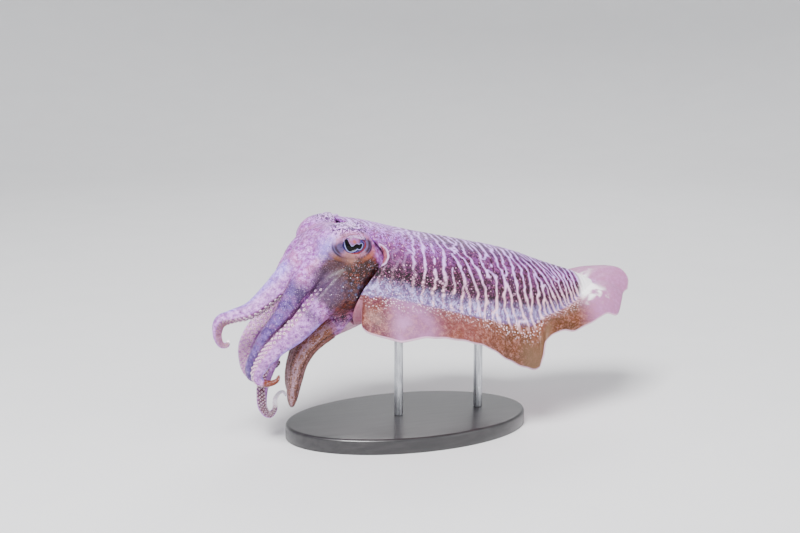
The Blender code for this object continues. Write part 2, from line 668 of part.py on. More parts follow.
def lid_ring(side, collection):
    """The rolled edge of the lids, an oval ring lying on the eyeball."""
    centre, out, along, up = eye_frame(side)
    half_length, half_height = [half + 0.6 * LID_RADIUS for half in EYE_OPENING]
    points = []
    for i in range(LID_POINTS):
        angle = 2 * math.pi * i / LID_POINTS
        flat = along * (math.cos(angle) * half_length) + up * (math.sin(angle) * half_height)
        height = math.sqrt(max(EYE_RADIUS**2 - flat.length_squared, (0.35 * EYE_RADIUS) ** 2))
        points.append(centre + flat + out * (height + 0.4 * LID_RADIUS))
    return tube("lid", points, LID_RADIUS, collection)


def cone(name, middle, direction, root_radius, top_radius, height, sides, dimple=0.0):
    """A blunt cone standing along a direction, its middle at a place, with an optional hollow in its top."""
    bm = bmesh.new()
    bmesh.ops.create_cone(bm, cap_ends=True, segments=sides, radius1=root_radius, radius2=top_radius,
                          depth=height)
    if dimple:
        top = max(bm.faces, key=lambda face: face.calc_center_median().z)
        bmesh.ops.poke(bm, faces=[top], offset=-dimple)
    turn = Vector(direction).to_track_quat("Z", "Y").to_matrix().to_4x4()
    turn.translation = middle
    bmesh.ops.transform(bm, matrix=turn, verts=bm.verts)
    mesh = bpy.data.meshes.new(name)
    bm.to_mesh(mesh)
    bm.free()
    made = bpy.data.objects.new(name, mesh)
    bpy.context.scene.collection.objects.link(made)
    return made


def tube(name, points, radius, collection):
    """A closed ring of round section along points, as a mesh."""
    curve = bpy.data.curves.new(name, "CURVE")
    curve.dimensions = "3D"
    curve.bevel_depth = radius
    curve.bevel_resolution = 1
    line = curve.splines.new("POLY")
    line.points.add(len(points) - 1)
    for point, place in zip(line.points, points):
        point.co = (*place, 1)
    line.use_cyclic_u = True
    guide = bpy.data.objects.new(name, curve)
    bpy.context.scene.collection.objects.link(guide)
    bpy.context.view_layer.update()
    made = bpy.data.objects.new(name, evaluated_mesh(guide))
    collection.objects.link(made)
    bpy.data.objects.remove(guide)
    return made


def make_head(mantle, collection):
    """Rounded masses run together, with the neck cut to the collar and the eye sockets opened."""
    masses = [ellipsoid(centre, radii, collection) for centre, radii in HEAD_MASSES]
    for side in (-1, 1):
        masses += [ellipsoid(mirrored(centre, side), radii, collection) for centre, radii in HEAD_SIDE_MASSES]
    head = masses.pop(0)
    head.name = "head"
    combine(head, masses, "UNION")
    remesh = head.modifiers.new("one skin", "REMESH")
    remesh.mode = "VOXEL"
    remesh.voxel_size = HEAD_VOXEL
    ease = head.modifiers.new("ease", "SMOOTH")
    ease.iterations = HEAD_SMOOTHING
    ease.factor = 0.5
    apply_modifiers(head)
    fewer = head.modifiers.new("fewer", "DECIMATE")
    fewer.ratio = HEAD_TRIANGLES / (2 * len(head.data.polygons))
    apply_modifiers(head)
    lids = [lid_ring(side, collection) for side in (-1, 1)]
    brows = [cone("papilla", Vector(mirrored(place, side)) * MM, (0, 0, 1), radius * MM, 0.3 * radius * MM,
                  height * MM, PAPILLA_SIDES) for side, place, height, radius in BROW_PAPILLAE]
    combine(head, lids + brows, "UNION")
    cuts = [grown_copy(mantle, GAP)]
    for side in (-1, 1):
        cuts.append(ellipsoid(mirrored(EYE_CENTRE, side), [(EYE_RADIUS + GAP) / MM] * 3, collection))
        cuts.append(eye_opening_tool(side, collection))
    combine(head, cuts, "DIFFERENCE")
    head.data.materials.clear()
    head.data.materials.append(material("head_skin"))
    head.data.shade_smooth()
    return head


def make_eye(name, side, mantle, collection):
    """An eyeball, its hidden back cut to the mantle's collar."""
    ball = ellipsoid(mirrored(EYE_CENTRE, side), [EYE_RADIUS / MM] * 3, collection)
    ball.name = name
    combine(ball, [grown_copy(mantle, GAP)], "DIFFERENCE")
    ball.data.materials.clear()
    ball.data.materials.append(material("eye_globe"))
    ball.data.shade_smooth()
    return ball


def make_pupil(name, side, collection):
    """The slit pupil, a bead that follows the eyeball."""
    centre, out, along, up = eye_frame(side)
    reach = EYE_RADIUS + GAP + PUPIL_THICKNESS
    middles, halves = [], []
    for share in np.linspace(0, 1, PUPIL_STATIONS):
        forward, high, half = profile(PUPIL_LINE, share)
        flat = along * (forward * EYE_RADIUS) + up * (high * EYE_RADIUS)
        middles.append((flat + out * math.sqrt(EYE_RADIUS**2 - flat.length_squared)).normalized() * reach)
        halves.append(half * MM)
    rings = []
    for i, (middle, half) in enumerate(zip(middles, halves)):
        run = (middles[min(i + 1, PUPIL_STATIONS - 1)] - middles[max(i - 1, 0)]).normalized()
        outward = middle.normalized()
        wide = run.cross(outward).normalized()
        rings.append([centre + middle + wide * half * w + outward * PUPIL_THICKNESS * h
                      for w, h in ((-1, -0.5), (-0.6, 1), (0.6, 1), (1, -0.5), (0, -0.9))])
    return loft(name, rings, "pupil", collection)


def funnel_ring(line, length, depth=0.0, share=1.0):
    """An oval across the funnel, or across its bore at a depth behind the end."""
    place, radius, tangent, face = line.at(length)
    across = np.cross(tangent, face)
    ring = []
    for j in range(FUNNEL_SIDES):
        angle = 2 * math.pi * j / FUNNEL_SIDES
        spoke = face * (math.cos(angle) * FUNNEL_FLAT) + across * math.sin(angle)
        ring.append(Vector(place - tangent * depth + spoke * radius * share))
    return ring


def make_funnel(head, mantle, collection):
    """The tube under the head, open at its end and cut to the head and the mantle's collar."""
    line = Arm(1, FUNNEL_PATH)
    rings = [funnel_ring(line, share * line.length) for share in np.linspace(0, 1, 9)]
    rings += [funnel_ring(line, line.length, depth * MM, share) for depth, share in FUNNEL_BORE]
    funnel = loft("funnel", rings, "head_skin", collection)
    combine(funnel, [grown_copy(head, GAP), grown_copy(mantle, GAP)], "DIFFERENCE")
    return funnel


def make_mouth(head, collection):
    """The lips round the mouth, a low bulb with a pit, in the middle of the arms."""
    mouth = ellipsoid(MOUTH_CENTRE, MOUTH_RADII, collection)
    mouth.name = "mouth"
    pit = ellipsoid(*MOUTH_PIT, collection, 12)
    combine(mouth, [pit, grown_copy(head, GAP)], "DIFFERENCE")
    mouth.data.materials.clear()
    mouth.data.materials.append(material("head_skin"))
    mouth.data.shade_smooth()
    return mouth


def make_base(collection):
    bm = bmesh.new()
    bmesh.ops.create_cone(bm, cap_ends=True, segments=BASE_SIDES, radius1=0.5, radius2=0.5, depth=1)
    for vertex in bm.verts:
        vertex.co = Vector((vertex.co.x * BASE_LENGTH, vertex.co.y * BASE_WIDTH,
                            (vertex.co.z + 0.5) * BASE_HEIGHT))
    mesh = bpy.data.meshes.new("stand_base")
    bm.to_mesh(mesh)
    bm.free()
    mesh.materials.append(material("stand_base"))
    base = bpy.data.objects.new("stand_base", mesh)
    collection.objects.link(base)
    rounding = base.modifiers.new("rounding", "BEVEL")
    rounding.width = BASE_EDGE
    rounding.segments = 2
    rounding.limit_method = "ANGLE"
    rounding.angle_limit = math.radians(60)
    return base


def make_rod(name, x, mantle, collection):
    """A rod from the base to the belly, cut to the belly's curve."""
    low = BASE_HEIGHT + GAP
    middle = Vector((x, 0, (low + ROD_TOP) / 2))
    rod = cone(name, middle, (0, 0, 1), ROD_RADIUS, ROD_RADIUS, ROD_TOP - low, ROD_SIDES)
    combine(rod, [grown_copy(mantle, GAP)], "DIFFERENCE")
    rod.data.materials.clear()
    rod.data.materials.append(material("stand_rod"))
    collection.objects.link(rod)
    bpy.context.scene.collection.objects.unlink(rod)
    return rod


def hang(obj, place, anchor):
    """Puts an object's origin at a place, keeps its shape where it is, and parents it to an empty."""
    obj.data.transform(Matrix.Translation(-place))
    obj.parent = anchor
    obj.location = place - anchor.location


def add_anchor(name, place, collection):
    anchor = bpy.data.objects.new(name, None)
    anchor.empty_display_size = 20 * MM
    anchor.location = place
    collection.objects.link(anchor)
    return anchor


def main():
    for obj in list(bpy.data.objects):
        bpy.data.objects.remove(obj)
    animal = bpy.data.collections.new("cuttlefish")
    bpy.context.scene.collection.children.link(animal)
    mantle = make_mantle(animal)
    origins = {mantle: Vector((MANTLE_FRONT, 0, FIN_LINE_HEIGHT[0][1] * MM))}
    for name, side, edge_points in (("fin_left", -1, LEFT_FIN_EDGE), ("fin_right", 1, RIGHT_FIN_EDGE)):
        origins[make_fin(name, side, edge_points, animal)] = fin_root(FIN_FRONT, side)
    head = make_head(mantle, animal)
    origins[head] = Vector(HEAD_MASSES[0][0]) * MM
    for word, side in (("left", -1), ("right", 1)):
        origins[make_eye("eye_" + word, side, mantle, animal)] = eye_frame(side)[0]
        origins[make_pupil("pupil_" + word, side, animal)] = eye_frame(side)[0]
    funnel = make_funnel(head, mantle, animal)
    origins[funnel] = Vector(FUNNEL_PATH[0][:3]) * MM
    mouth = make_mouth(head, animal)
    origins[mouth] = Vector(MOUTH_CENTRE) * MM
    origins.update(make_arms(head, [mantle, funnel, mouth], animal))
    stand = {make_base(animal): Vector((0, 0, 0))}
    for name, x in ROD_PLACES.items():
        stand[make_rod(name, x, mantle, animal)] = Vector((x, 0, BASE_HEIGHT + GAP))
    body_anchor = add_anchor("animal", origins[mantle], animal)
    stand_anchor = add_anchor("stand", Vector((0, 0, 0)), animal)
    for obj, place in origins.items():
        hang(obj, place, body_anchor)
    for obj, place in stand.items():
        hang(obj, place, stand_anchor)


main()
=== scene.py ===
import math
import bmesh
import bpy
import numpy as np
from mathutils import Matrix, Vector
from mathutils.kdtree import KDTree


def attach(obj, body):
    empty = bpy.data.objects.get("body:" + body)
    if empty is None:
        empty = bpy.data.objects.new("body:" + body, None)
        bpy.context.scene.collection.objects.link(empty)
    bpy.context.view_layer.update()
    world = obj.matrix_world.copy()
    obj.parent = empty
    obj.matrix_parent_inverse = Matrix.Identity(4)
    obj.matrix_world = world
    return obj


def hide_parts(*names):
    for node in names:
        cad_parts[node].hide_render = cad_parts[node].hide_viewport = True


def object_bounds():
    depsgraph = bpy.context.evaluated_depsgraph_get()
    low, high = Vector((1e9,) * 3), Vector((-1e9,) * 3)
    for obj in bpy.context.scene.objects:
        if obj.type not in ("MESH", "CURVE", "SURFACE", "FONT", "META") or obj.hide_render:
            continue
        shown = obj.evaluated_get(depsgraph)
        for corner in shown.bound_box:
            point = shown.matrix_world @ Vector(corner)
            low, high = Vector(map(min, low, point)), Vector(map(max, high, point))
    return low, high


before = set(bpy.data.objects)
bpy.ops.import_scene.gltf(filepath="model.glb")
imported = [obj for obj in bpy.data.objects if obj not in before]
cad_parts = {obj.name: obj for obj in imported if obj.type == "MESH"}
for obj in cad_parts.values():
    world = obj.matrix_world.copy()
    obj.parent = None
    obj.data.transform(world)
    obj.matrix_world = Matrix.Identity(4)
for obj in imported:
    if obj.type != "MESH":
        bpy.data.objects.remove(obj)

# Common cuttlefish, life size, on its display stand. The head points to -X, the left side to -Y.
# Sizes are in millimetres until a mesh is made.

mm = 0.001
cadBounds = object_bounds()
cadLow = np.array(cadBounds[0]) / mm
cadHigh = np.array(cadBounds[1]) / mm


# Curves, easing and soft noise on arrays

def smoothCurve(points, at):
    # a smooth curve through (place, value) points, the value a number or several
    places = np.array([p[0] for p in points], float)
    values = np.array([p[1:] for p in points], float)
    at = np.clip(np.asarray(at, float), places[0], places[-1])
    index = np.clip(np.searchsorted(places, at) - 1, 0, len(places) - 2)
    slopes = np.empty_like(values)
    slopes[1:-1] = (values[2:] - values[:-2]) / (places[2:] - places[:-2])[:, None]
    slopes[0] = (values[1] - values[0]) / (places[1] - places[0])
    slopes[-1] = (values[-1] - values[-2]) / (places[-1] - places[-2])
    width = (places[index + 1] - places[index])[..., None]
    t = (at - places[index])[..., None] / width
    result = (values[index] * (2 * t**3 - 3 * t**2 + 1) + values[index + 1] * (3 * t**2 - 2 * t**3)
              + width * (slopes[index] * (t**3 - 2 * t**2 + t) + slopes[index + 1] * (t**3 - t**2)))
    return result[..., 0] if values.shape[1] == 1 else result


def ease(value, low, high):
    # 0 below low, 1 above high, smooth between; high may be the smaller one
    share = np.clip((value - low) / (high - low), 0, 1)
    return share * share * (3 - 2 * share)


def softNoise(points, size, seed):
    # smooth noise from -1 to 1 with bumps of about that size
    cells = np.asarray(points, float) / size + 57.3
    low = np.floor(cells).astype(np.int64)
    part = cells - low
    part = part * part * (3 - 2 * part)
    total = np.zeros(cells.shape[:-1])
    for corner in np.ndindex(*([2] * cells.shape[-1])):
        weight = np.prod(np.where(corner, part, 1 - part), axis=-1)
        key = (low + corner) @ np.array([127, 311, 743][:cells.shape[-1]]) + seed * 1013
        total += weight * np.modf(np.abs(np.sin(key * 12.9898)) * 43758.5453)[0]
    return 2 * total - 1


def unit(rows):
    return rows / np.maximum(np.linalg.norm(rows, axis=-1, keepdims=True), 1e-9)


# Meshes and pieces

def keepInside(points):
    # keeps the dressed model inside the CAD model's box
    return np.clip(points, cadLow + 0.02, cadHigh - 0.02)


def makeMesh(name, points, faces, fields=None):
    mesh = bpy.data.meshes.new(name)
    mesh.from_pydata((keepInside(points) * mm).tolist(), [], faces)
    for key, values in (fields or {}).items():
        addField(mesh, key, values)
    return mesh


def addField(mesh, key, values):
    layer = mesh.attributes.get(key) or mesh.attributes.new(key, "FLOAT", "POINT")
    layer.data.foreach_set("value", np.ascontiguousarray(values, dtype=np.float32).ravel())


def readVectors(rows, key):
    flat = np.empty(len(rows) * 3, np.float32)
    rows.foreach_get(key, flat)
    return flat.reshape(-1, 3).astype(float)


def meshPoints(mesh):
    return readVectors(mesh.vertices, "co") / mm


def movePoints(mesh, points):
    mesh.vertices.foreach_set("co", (keepInside(points) * mm).astype(np.float32).ravel())
    mesh.update()


def closeUp(mesh, reach=0.01):
    # merges doubles, turns the faces outwards as a whole and shades them smooth
    bm = bmesh.new()
    bm.from_mesh(mesh)
    bmesh.ops.remove_doubles(bm, verts=bm.verts, dist=reach * mm)
    bmesh.ops.dissolve_degenerate(bm, edges=bm.edges, dist=0.001 * mm)
    if bm.calc_volume(signed=True) < 0:
        bmesh.ops.reverse_faces(bm, faces=bm.faces)
    bm.to_mesh(mesh)
    openEdges = sum(1 for edge in bm.edges if len(edge.link_faces) != 2)
    bm.free()
    mesh.shade_smooth()
    return openEdges


def addPiece(name, mesh, finish, body="root", replaced=()):
    piece = bpy.data.objects.new(name, mesh)
    bpy.context.scene.collection.objects.link(piece)
    mesh.materials.clear()
    mesh.materials.append(finish)
    if replaced:
        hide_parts(*replaced)
    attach(piece, body)
    return piece


def asMesh(obj):
    # the plain mesh of an object with its modifiers, and the object taken away
    graph = bpy.context.evaluated_depsgraph_get()
    mesh = bpy.data.meshes.new_from_object(obj.evaluated_get(graph), depsgraph=graph)
    bpy.data.objects.remove(obj)
    return mesh


def looseObject(name, mesh):
    obj = bpy.data.objects.new(name, mesh)
    bpy.context.scene.collection.objects.link(obj)
    return obj


def ringFaces(rows, count, firstPole=None, lastPole=None):
    # quads over rings of points, with a fan to the point that closes either end
    faces = []
    for start in range(0, (rows - 1) * count, count):
        for j in range(count):
            k = (j + 1) % count
            faces.append((start + j, start + k, start + count + k, start + count + j))
    end = (rows - 1) * count
    if firstPole is not None:
        faces += [(j, firstPole, (j + 1) % count) for j in range(count)]
    if lastPole is not None:
        faces += [(end + (j + 1) % count, lastPole, end + j) for j in range(count)]
    return faces


def closedRings(rings, firstPole, lastPole):
    # rings of points as one closed shell, with the points that close its two ends after them
    rows, count = rings.shape[:2]
    points = np.vstack([rings.reshape(-1, 3), [firstPole], [lastPole]])
    return points, ringFaces(rows, count, rows * count, rows * count + 1)


def fullTurn(sides):
    return np.linspace(0, 2 * math.pi, sides + 1)[:-1]


# Finishes: a Principled shader fed by the pieces' own fields and by noise in object coordinates

def tint(red, green, blue, deeper=1.5):
    # a colour in the 0 to 255 values of a picture, made deeper because soft studio light pales it
    def linear(value):
        value /= 255
        value = value / 12.92 if value <= 0.04045 else ((value + 0.055) / 1.055) ** 2.4
        return value ** deeper
    return (linear(red), linear(green), linear(blue), 1)


class Graph:
    # adds nodes to a tree, each input given as a value or as the socket that feeds it
    def step(self, kind, values, **settings):
        made = self.tree.nodes.new(kind)
        for key, value in settings.items():
            setattr(made, key, value)
        for key, value in values.items():
            self.feed(made.inputs[key], value)
        return made

    def feed(self, socket, value):
        if isinstance(value, bpy.types.NodeSocket):
            self.tree.links.new(value, socket)
        else:
            socket.default_value = value

    def maths(self, operation, a, b=0.0):
        return self.step("ShaderNodeMath", {0: a, 1: b}, operation=operation).outputs[0]

    def plus(self, a, b):
        return self.maths("ADD", a, b)

    def minus(self, a, b):
        return self.maths("SUBTRACT", a, b)

    def times(self, first, *others):
        for other in others:
            first = self.maths("MULTIPLY", first, other)
        return first


class Finish(Graph):
    def __init__(self, name, **sockets):
        self.material = bpy.data.materials.new(name)
        self.material.use_nodes = True
        self.tree = self.material.node_tree
        self.shader = self.tree.nodes["Principled BSDF"]
        for key, value in sockets.items():
            self.shader.inputs[key.replace("_", " ")].default_value = value
        self.place = self.tree.nodes.new("ShaderNodeTexCoord").outputs["Object"]

    def field(self, name):
        return self.step("ShaderNodeAttribute", {}, attribute_name=name).outputs["Fac"]

    def between(self, value, low, high, lowest=0.0, highest=1.0):
        values = {"Value": value, "From Min": low, "From Max": high, "To Min": lowest, "To Max": highest}
        return self.step("ShaderNodeMapRange", values, interpolation_type="SMOOTHSTEP").outputs["Result"]

    def noise(self, size, detail=2.0, stretch=None, warp=0.0, soft=0.5):
        # size in millimetres
        values = {"Scale": 1 / (size * mm), "Detail": detail, "Distortion": warp, "Roughness": soft}
        values["Vector"] = self.stretched(stretch) if stretch else self.place
        return self.step("ShaderNodeTexNoise", values).outputs["Fac"]

    def stretched(self, factors):
        return self.step("ShaderNodeMapping", {"Vector": self.place, "Scale": factors}).outputs[0]

    def spots(self, size, feature="F1", jitter=1.0):
        values = {"Vector": self.place, "Scale": 1 / (size * mm), "Randomness": jitter}
        return self.step("ShaderNodeTexVoronoi", values, feature=feature)

    def nearness(self, centre, reach, ragged=0.0):
        # 1 at a place in mm and at its mirror image, falling to 0 at that reach
        folded = self.step("ShaderNodeSeparateXYZ", {"Vector": self.place})
        width = self.maths("ABSOLUTE", folded.outputs["Y"])
        point = {"X": folded.outputs["X"], "Y": width, "Z": folded.outputs["Z"]}
        ends = {0: self.step("ShaderNodeCombineXYZ", point).outputs[0], 1: tuple(v * mm for v in centre)}
        apart = self.step("ShaderNodeVectorMath", ends, operation="DISTANCE").outputs["Value"]
        if ragged:
            apart = self.plus(apart, self.times(self.minus(self.noise(3.5, 3), 0.5), ragged * mm))
        return self.between(apart, reach * mm, 0.25 * reach * mm)

    def veins(self, size, width, warp=1.2, stretch=None):
        # thin wandering lines, where a soft noise crosses its middle
        value = self.noise(size, 1, stretch=stretch, warp=warp)
        return self.between(self.maths("ABSOLUTE", self.minus(value, 0.5)), width, 0.3 * width)

    def blend(self, share, low, high):
        values = {0: share, 6: low, 7: high}
        return self.step("ShaderNodeMix", values, data_type="RGBA").outputs[2]

    def two(self, value, first, second, low=0.4, high=0.6):
        # the first colour where the value is low, the second where it is high
        return self.blend(self.between(value, low, high), tint(*first), tint(*second))

    def layers(self, colour, rows):
        # each row lays its colour over what lies below it, as thickly as its share says
        for share, over in rows:
            over = over if isinstance(over, bpy.types.NodeSocket) else tint(*over)
            colour = self.blend(share, colour, over)
        return colour

    def paint(self, colour):
        self.feed(self.shader.inputs["Base Color"], colour)

    def rough(self, value):
        self.feed(self.shader.inputs["Roughness"], value)

    def relief(self, height, depth, strength=1.0):
        # depth in millimetres
        values = {"Height": height, "Strength": strength, "Distance": depth * mm}
        self.feed(self.shader.inputs["Normal"], self.step("ShaderNodeBump", values).outputs[0])


flesh = {"Subsurface_Weight": 0.12, "Subsurface_Radius": (1.0, 0.4, 0.5), "Subsurface_Scale": 0.0016,
         "Specular_IOR_Level": 0.36, "Coat_Weight": 0.06, "Coat_Roughness": 0.16}


def mantleFinish():
    f = Finish("cuttlefishMantleSkin", **flesh | {"Specular_IOR_Level": 0.24, "Coat_Weight": 0.03})
    place, girth, fin = f.field("place"), f.field("girth"), f.field("fin")
    lines, under = f.field("lines"), f.field("under")
    patches, mottle, fine = f.noise(12, 3), f.noise(2.8, 5, soft=0.7), f.noise(0.8, 3, soft=0.7)
    flecks, cells = f.spots(1.1).outputs["Distance"], f.spots(1.7).outputs["Distance"]
    # the ground: purple dots on lilac over the back, dark purple brown lower on the side
    crown = f.times(f.between(girth, 0.5, 0.15), f.between(cells, 0.25, 0.5, 0.5, 0.9))
    net = f.times(f.between(girth, 0.6, 0.3), f.between(place, 0.4, 0.2), f.veins(3.0, 0.07, 1.5))
    low = f.times(f.between(girth, 0.36, 0.72), f.between(f.noise(4.5, 3, warp=0.6), 0.36, 0.54, 0.35, 0.9))
    shade = f.times(f.between(girth, 0.56, 0.8), f.between(place, 0.62, 0.12))
    front = f.times(f.between(place, 0.32, 0.16), f.between(girth, 0.8, 0.6))
    bright = f.times(f.between(f.spots(2.1).outputs["Distance"], 0.24, 0.12), f.between(girth, 0.15, 0.4))
    ground = f.layers(f.two(mottle, (156, 104, 162), (62, 30, 38), 0.42, 0.58), [
        (f.between(patches, 0.42, 0.62, 0, 0.5), (98, 60, 58)),
        (crown, (92, 46, 116)),
        (f.times(net, 0.9), (218, 158, 250)),
        (low, (50, 20, 20)),
        (f.times(shade, 0.93), (28, 10, 11)),
        (f.times(f.between(girth, 0.83, 0.95), 0.75), (118, 86, 138)),
        (f.times(front, f.between(mottle, 0.48, 0.6, 0, 0.7)), (158, 104, 156)),
        (f.between(fine, 0.53, 0.62, 0, 0.65), (184, 120, 160)),
        (f.between(flecks, 0.3, 0.12, 0, 0.5), (36, 12, 32)),
        (f.times(bright, 0.75), (240, 200, 224)),
    ])
    # the wavy pale lines, broken into dashes where the side is darkest, and the notch behind the eye
    pale = f.two(girth, (228, 192, 252), (254, 218, 228), 0.45, 0.9)
    gaps = f.times(shade, f.between(f.noise(3.4, 2, stretch=(1, 1, 1.7)), 0.42, 0.54))
    drawn = f.times(lines, f.minus(1.0, f.times(gaps, 0.85)), f.between(fine, 0.3, 0.5, 0.7, 1))
    notch = f.nearness((-33, 36, 130), 15, 1.5)
    # the blue-white clouds along the root of the fin
    streaks = f.noise(2.6, 5, stretch=(1.2, 1, 0.9), warp=0.5, soft=0.66)
    root = f.times(f.between(girth, 0.8, 0.95), f.between(streaks, 0.44, 0.64, 0.1, 0.75))
    upper = f.layers(ground, [
        (drawn, pale),
        (f.between(notch, 0.34, 0.42, 0, 0.85), (222, 196, 232)),
        (f.between(notch, 0.42, 0.56), f.two(mottle, (176, 112, 130), (142, 80, 98))),
        (f.times(root, f.between(place, 0.97, 0.5, 0.35, 1)), (216, 208, 252)),
        (f.between(place, 0.94, 0.98), (204, 164, 204)),
    ])
    # the fin: rosy in front, orange brown behind, with rows of small pale dots near its root
    lilac = f.times(f.between(place, 0.09, 0.15), f.between(place, 0.32, 0.2),
                    f.between(patches, 0.35, 0.6, 0.5, 0.9))
    # the fin's fold over its lobe, greyish brown: partly its colour, partly painted shade of the fold
    lobe = f.times(f.between(place, 0.56, 0.64), f.between(place, 0.78, 0.73),
                   f.between(fin, 0.25, 0.7, 0, 0.85))
    dotted = f.times(f.between(f.spots(1.75).outputs["Distance"], 0.36, 0.24), f.between(fin, 0.6, 0.08),
                     f.between(place, 0.97, 0.85))
    rosy = f.layers(f.two(place, (126, 76, 92), (154, 100, 96), 0.12, 0.42), [
        (f.between(place, 0.36, 0.54), (116, 80, 34)),
        (f.between(patches, 0.4, 0.62, 0, 0.5), (148, 98, 72)),
        (f.between(mottle, 0.48, 0.62, 0, 0.5), (200, 154, 146)),
        (f.between(f.noise(4.5, 5, warp=0.4, soft=0.7), 0.5, 0.62, 0, 0.4), (112, 70, 56)),
        (f.between(fine, 0.52, 0.66, 0, 0.35), (222, 180, 180)),
        (f.between(f.noise(1.6, 4, soft=0.7), 0.54, 0.64, 0, 0.3), (116, 66, 58)),
        (lilac, (190, 148, 186)),
        (f.times(f.between(place, 0.87, 0.97), f.between(mottle, 0.35, 0.6, 0.95, 0.7)), (204, 156, 196)),
        (lobe, (140, 116, 96)),
        (f.times(dotted, 0.95), (252, 230, 238)),
        (f.between(flecks, 0.2, 0.08, 0, 0.45), (110, 50, 44)),
        (f.times(lines, 0.8), (248, 210, 216)),
        (f.times(f.between(fin, 0.955, 0.985), 0.75), (232, 204, 222)),
    ])
    # the belly and the fin's underside
    belly = f.layers(f.two(mottle, (216, 176, 192), (190, 138, 160), 0.35, 0.65), [
        (f.between(place, 0.14, 0.05, 0, 0.7), (168, 116, 132)),
        (f.between(flecks, 0.22, 0.08, 0, 0.6), (132, 72, 90)),
        (f.between(fin, 0.0, 0.3, 0, 0.75), rosy),
    ])
    # the fin over the upper side with a ragged edge, the belly below, the white patch, the collar's inside
    ragged = f.plus(fin, f.times(f.minus(streaks, 0.5), 0.5))
    around = f.plus(fin, f.times(f.minus(f.noise(5, 4), 0.5), 1.2))
    tip = f.times(f.between(place, 0.91, 0.95), f.between(place, 1.02, 0.99), f.between(around, 0.52, 0.16),
                  f.between(under, 0.5, 0.1))
    f.paint(f.layers(upper, [
        (f.times(f.between(ragged, 0.02, 0.14), f.between(fin, 0.0, 0.03)), rosy),
        (f.between(under, 0.0, 0.5), belly),
        (f.times(tip, 0.98), (255, 253, 255)),
        (f.between(f.field("inside"), 0.2, 0.6), (204, 150, 166)),
    ]))
    f.rough(f.between(mottle, 0.3, 0.7, 0.36, 0.52))
    height = f.plus(f.times(mottle, 0.6), f.times(fine, 0.35))
    f.relief(f.plus(height, f.times(lines, 0.3)), 0.6, 0.8)
    return f.material


# The mantle and the two fins

mantle = {
    # a fullness of 1 makes the cross section an ellipse, less makes it boxier
    "front": -49, "length": 185, "fullness": 0.82,
    # by place along it: height of the fins' line, dome above that line, belly below it, half the width
    "finLine": [(0, 101), (0.1, 101), (0.25, 93), (0.45, 82.5), (0.65, 75.5), (0.8, 77), (0.92, 83),
                (1, 90)],
    "dome": [(0, 47), (0.1, 43.5), (0.25, 44), (0.45, 46), (0.65, 44), (0.8, 32), (0.92, 18), (1, 4)],
    "belly": [(0, 24), (0.1, 24), (0.25, 23), (0.45, 20), (0.65, 16.5), (0.8, 12.5), (0.92, 8), (1, 3.5)],
    "halfWidth": [(0, 35), (0.1, 38.5), (0.25, 42), (0.45, 41), (0.65, 34.5), (0.8, 24.5), (0.92, 13),
                  (1, 4.5)],
    # how far behind the front lobe's tip the free edge lies, by degrees from the middle of the back
    "collarEdge": [(0, 0), (15, 0.02), (30, 0.072), (45, 0.12), (60, 0.112), (75, 0.07), (90, 0.03),
                   (120, 0.012), (150, 0.03), (180, 0.05)],
    "collarLip": 2.6, "collarWall": 4.5, "collarDepth": 0.165, "lipReach": 0.9,
    "rows": 334, "innerRows": 9, "lipRows": 6, "tailRows": 14,
    "domeColumns": 132, "bellyColumns": 30, "finColumns": 18,
    # size and height of the skin's folds
    "wrinkles": 0.3, "folds": [(6.5, 0.5), (2.6, 0.35)],
}
fins = {
    # a fin leaves the mantle between the two places of its start, and ends behind it by the tail's share
    "rootThickness": 3.4, "edgeThickness": 0.9, "bulge": 0.16, "start": (0.03, 0.052), "tail": 0.04,
    "filletSteps": 12, "filletReach": 4.5, "ripple": 0.22, "lastShare": 0.985,
    # place along the mantle, then the outer edge of the fin as X, distance from the middle and Z
    "left": [(0.035, -50, 45.5, 90), (0.06, -47, 52, 83.5), (0.09, -40.5, 57.5, 80.5),
             (0.12, -32, 61.5, 78.5), (0.15, -26, 64, 77), (0.2, -16.5, 66, 79), (0.27, -3, 65, 78),
             (0.36, 17.5, 60, 73), (0.45, 35.5, 54, 66),
             (0.54, 52, 49, 55), (0.62, 66.5, 46, 47.5), (0.685, 76, 46, 46.5), (0.71, 78, 48, 55),
             (0.735, 79, 49.5, 65), (0.79, 91, 45, 70), (0.86, 105, 40, 68), (0.91, 118, 36, 71),
             (0.95, 128, 32, 73.5), (0.98, 136, 28, 75), (1, 146, 24, 72.5), (1.015, 154.5, 14, 80),
             (1.028, 160, 6, 83), (1.04, 167, 0, 84.5)],
    "right": [(0.035, -46, 50, 88), (0.1, -33, 62, 84), (0.18, -16, 66, 74), (0.28, 3, 64, 70),
              (0.38, 22, 66, 78), (0.5, 45, 65, 84), (0.6, 62, 57, 76), (0.68, 76, 50, 66),
              (0.76, 90, 48, 66), (0.84, 105, 44, 77), (0.91, 121, 38, 89), (0.96, 138, 29, 96),
              (1, 151, 25, 97.5), (1.012, 161, 19, 98), (1.022, 168, 13, 96.5), (1.032, 170.5, 6, 91),
              (1.04, 167, 0, 84.5)],
}
stripes = {
    # the pattern grows on a flat sheet of small cells, this far to each side of the middle of the back
    "cell": 0.45, "halfWidth": 76, "rounds": 9, "seed": 31,
    "directions": 16, "spacings": (4.2, 5.4, 6.8), "narrow": 0.3, "straight": 0.2, "even": 3.2,
    # the widths are from the middle of a line to where it has faded and to where it is full
    "crest": (0.82, 0.4), "joint": (0.5, 0.12, 0.32), "bars": -0.25,
    # how far back a line moves for each millimetre down the side, by place along the mantle
    "lean": [(0, -0.1), (0.25, -0.08), (0.45, 0.05), (0.65, 0.25), (0.8, 0.5), (1, 0.8)],
    # how far the direction of the lines sways and over what size, how far they are shaken along and across
    "sway": (0.5, 9), "shaken": (1.1, 0.9), "raised": 0.7,
    "loopCentre": -16, "loopReach": (11, 19),
}


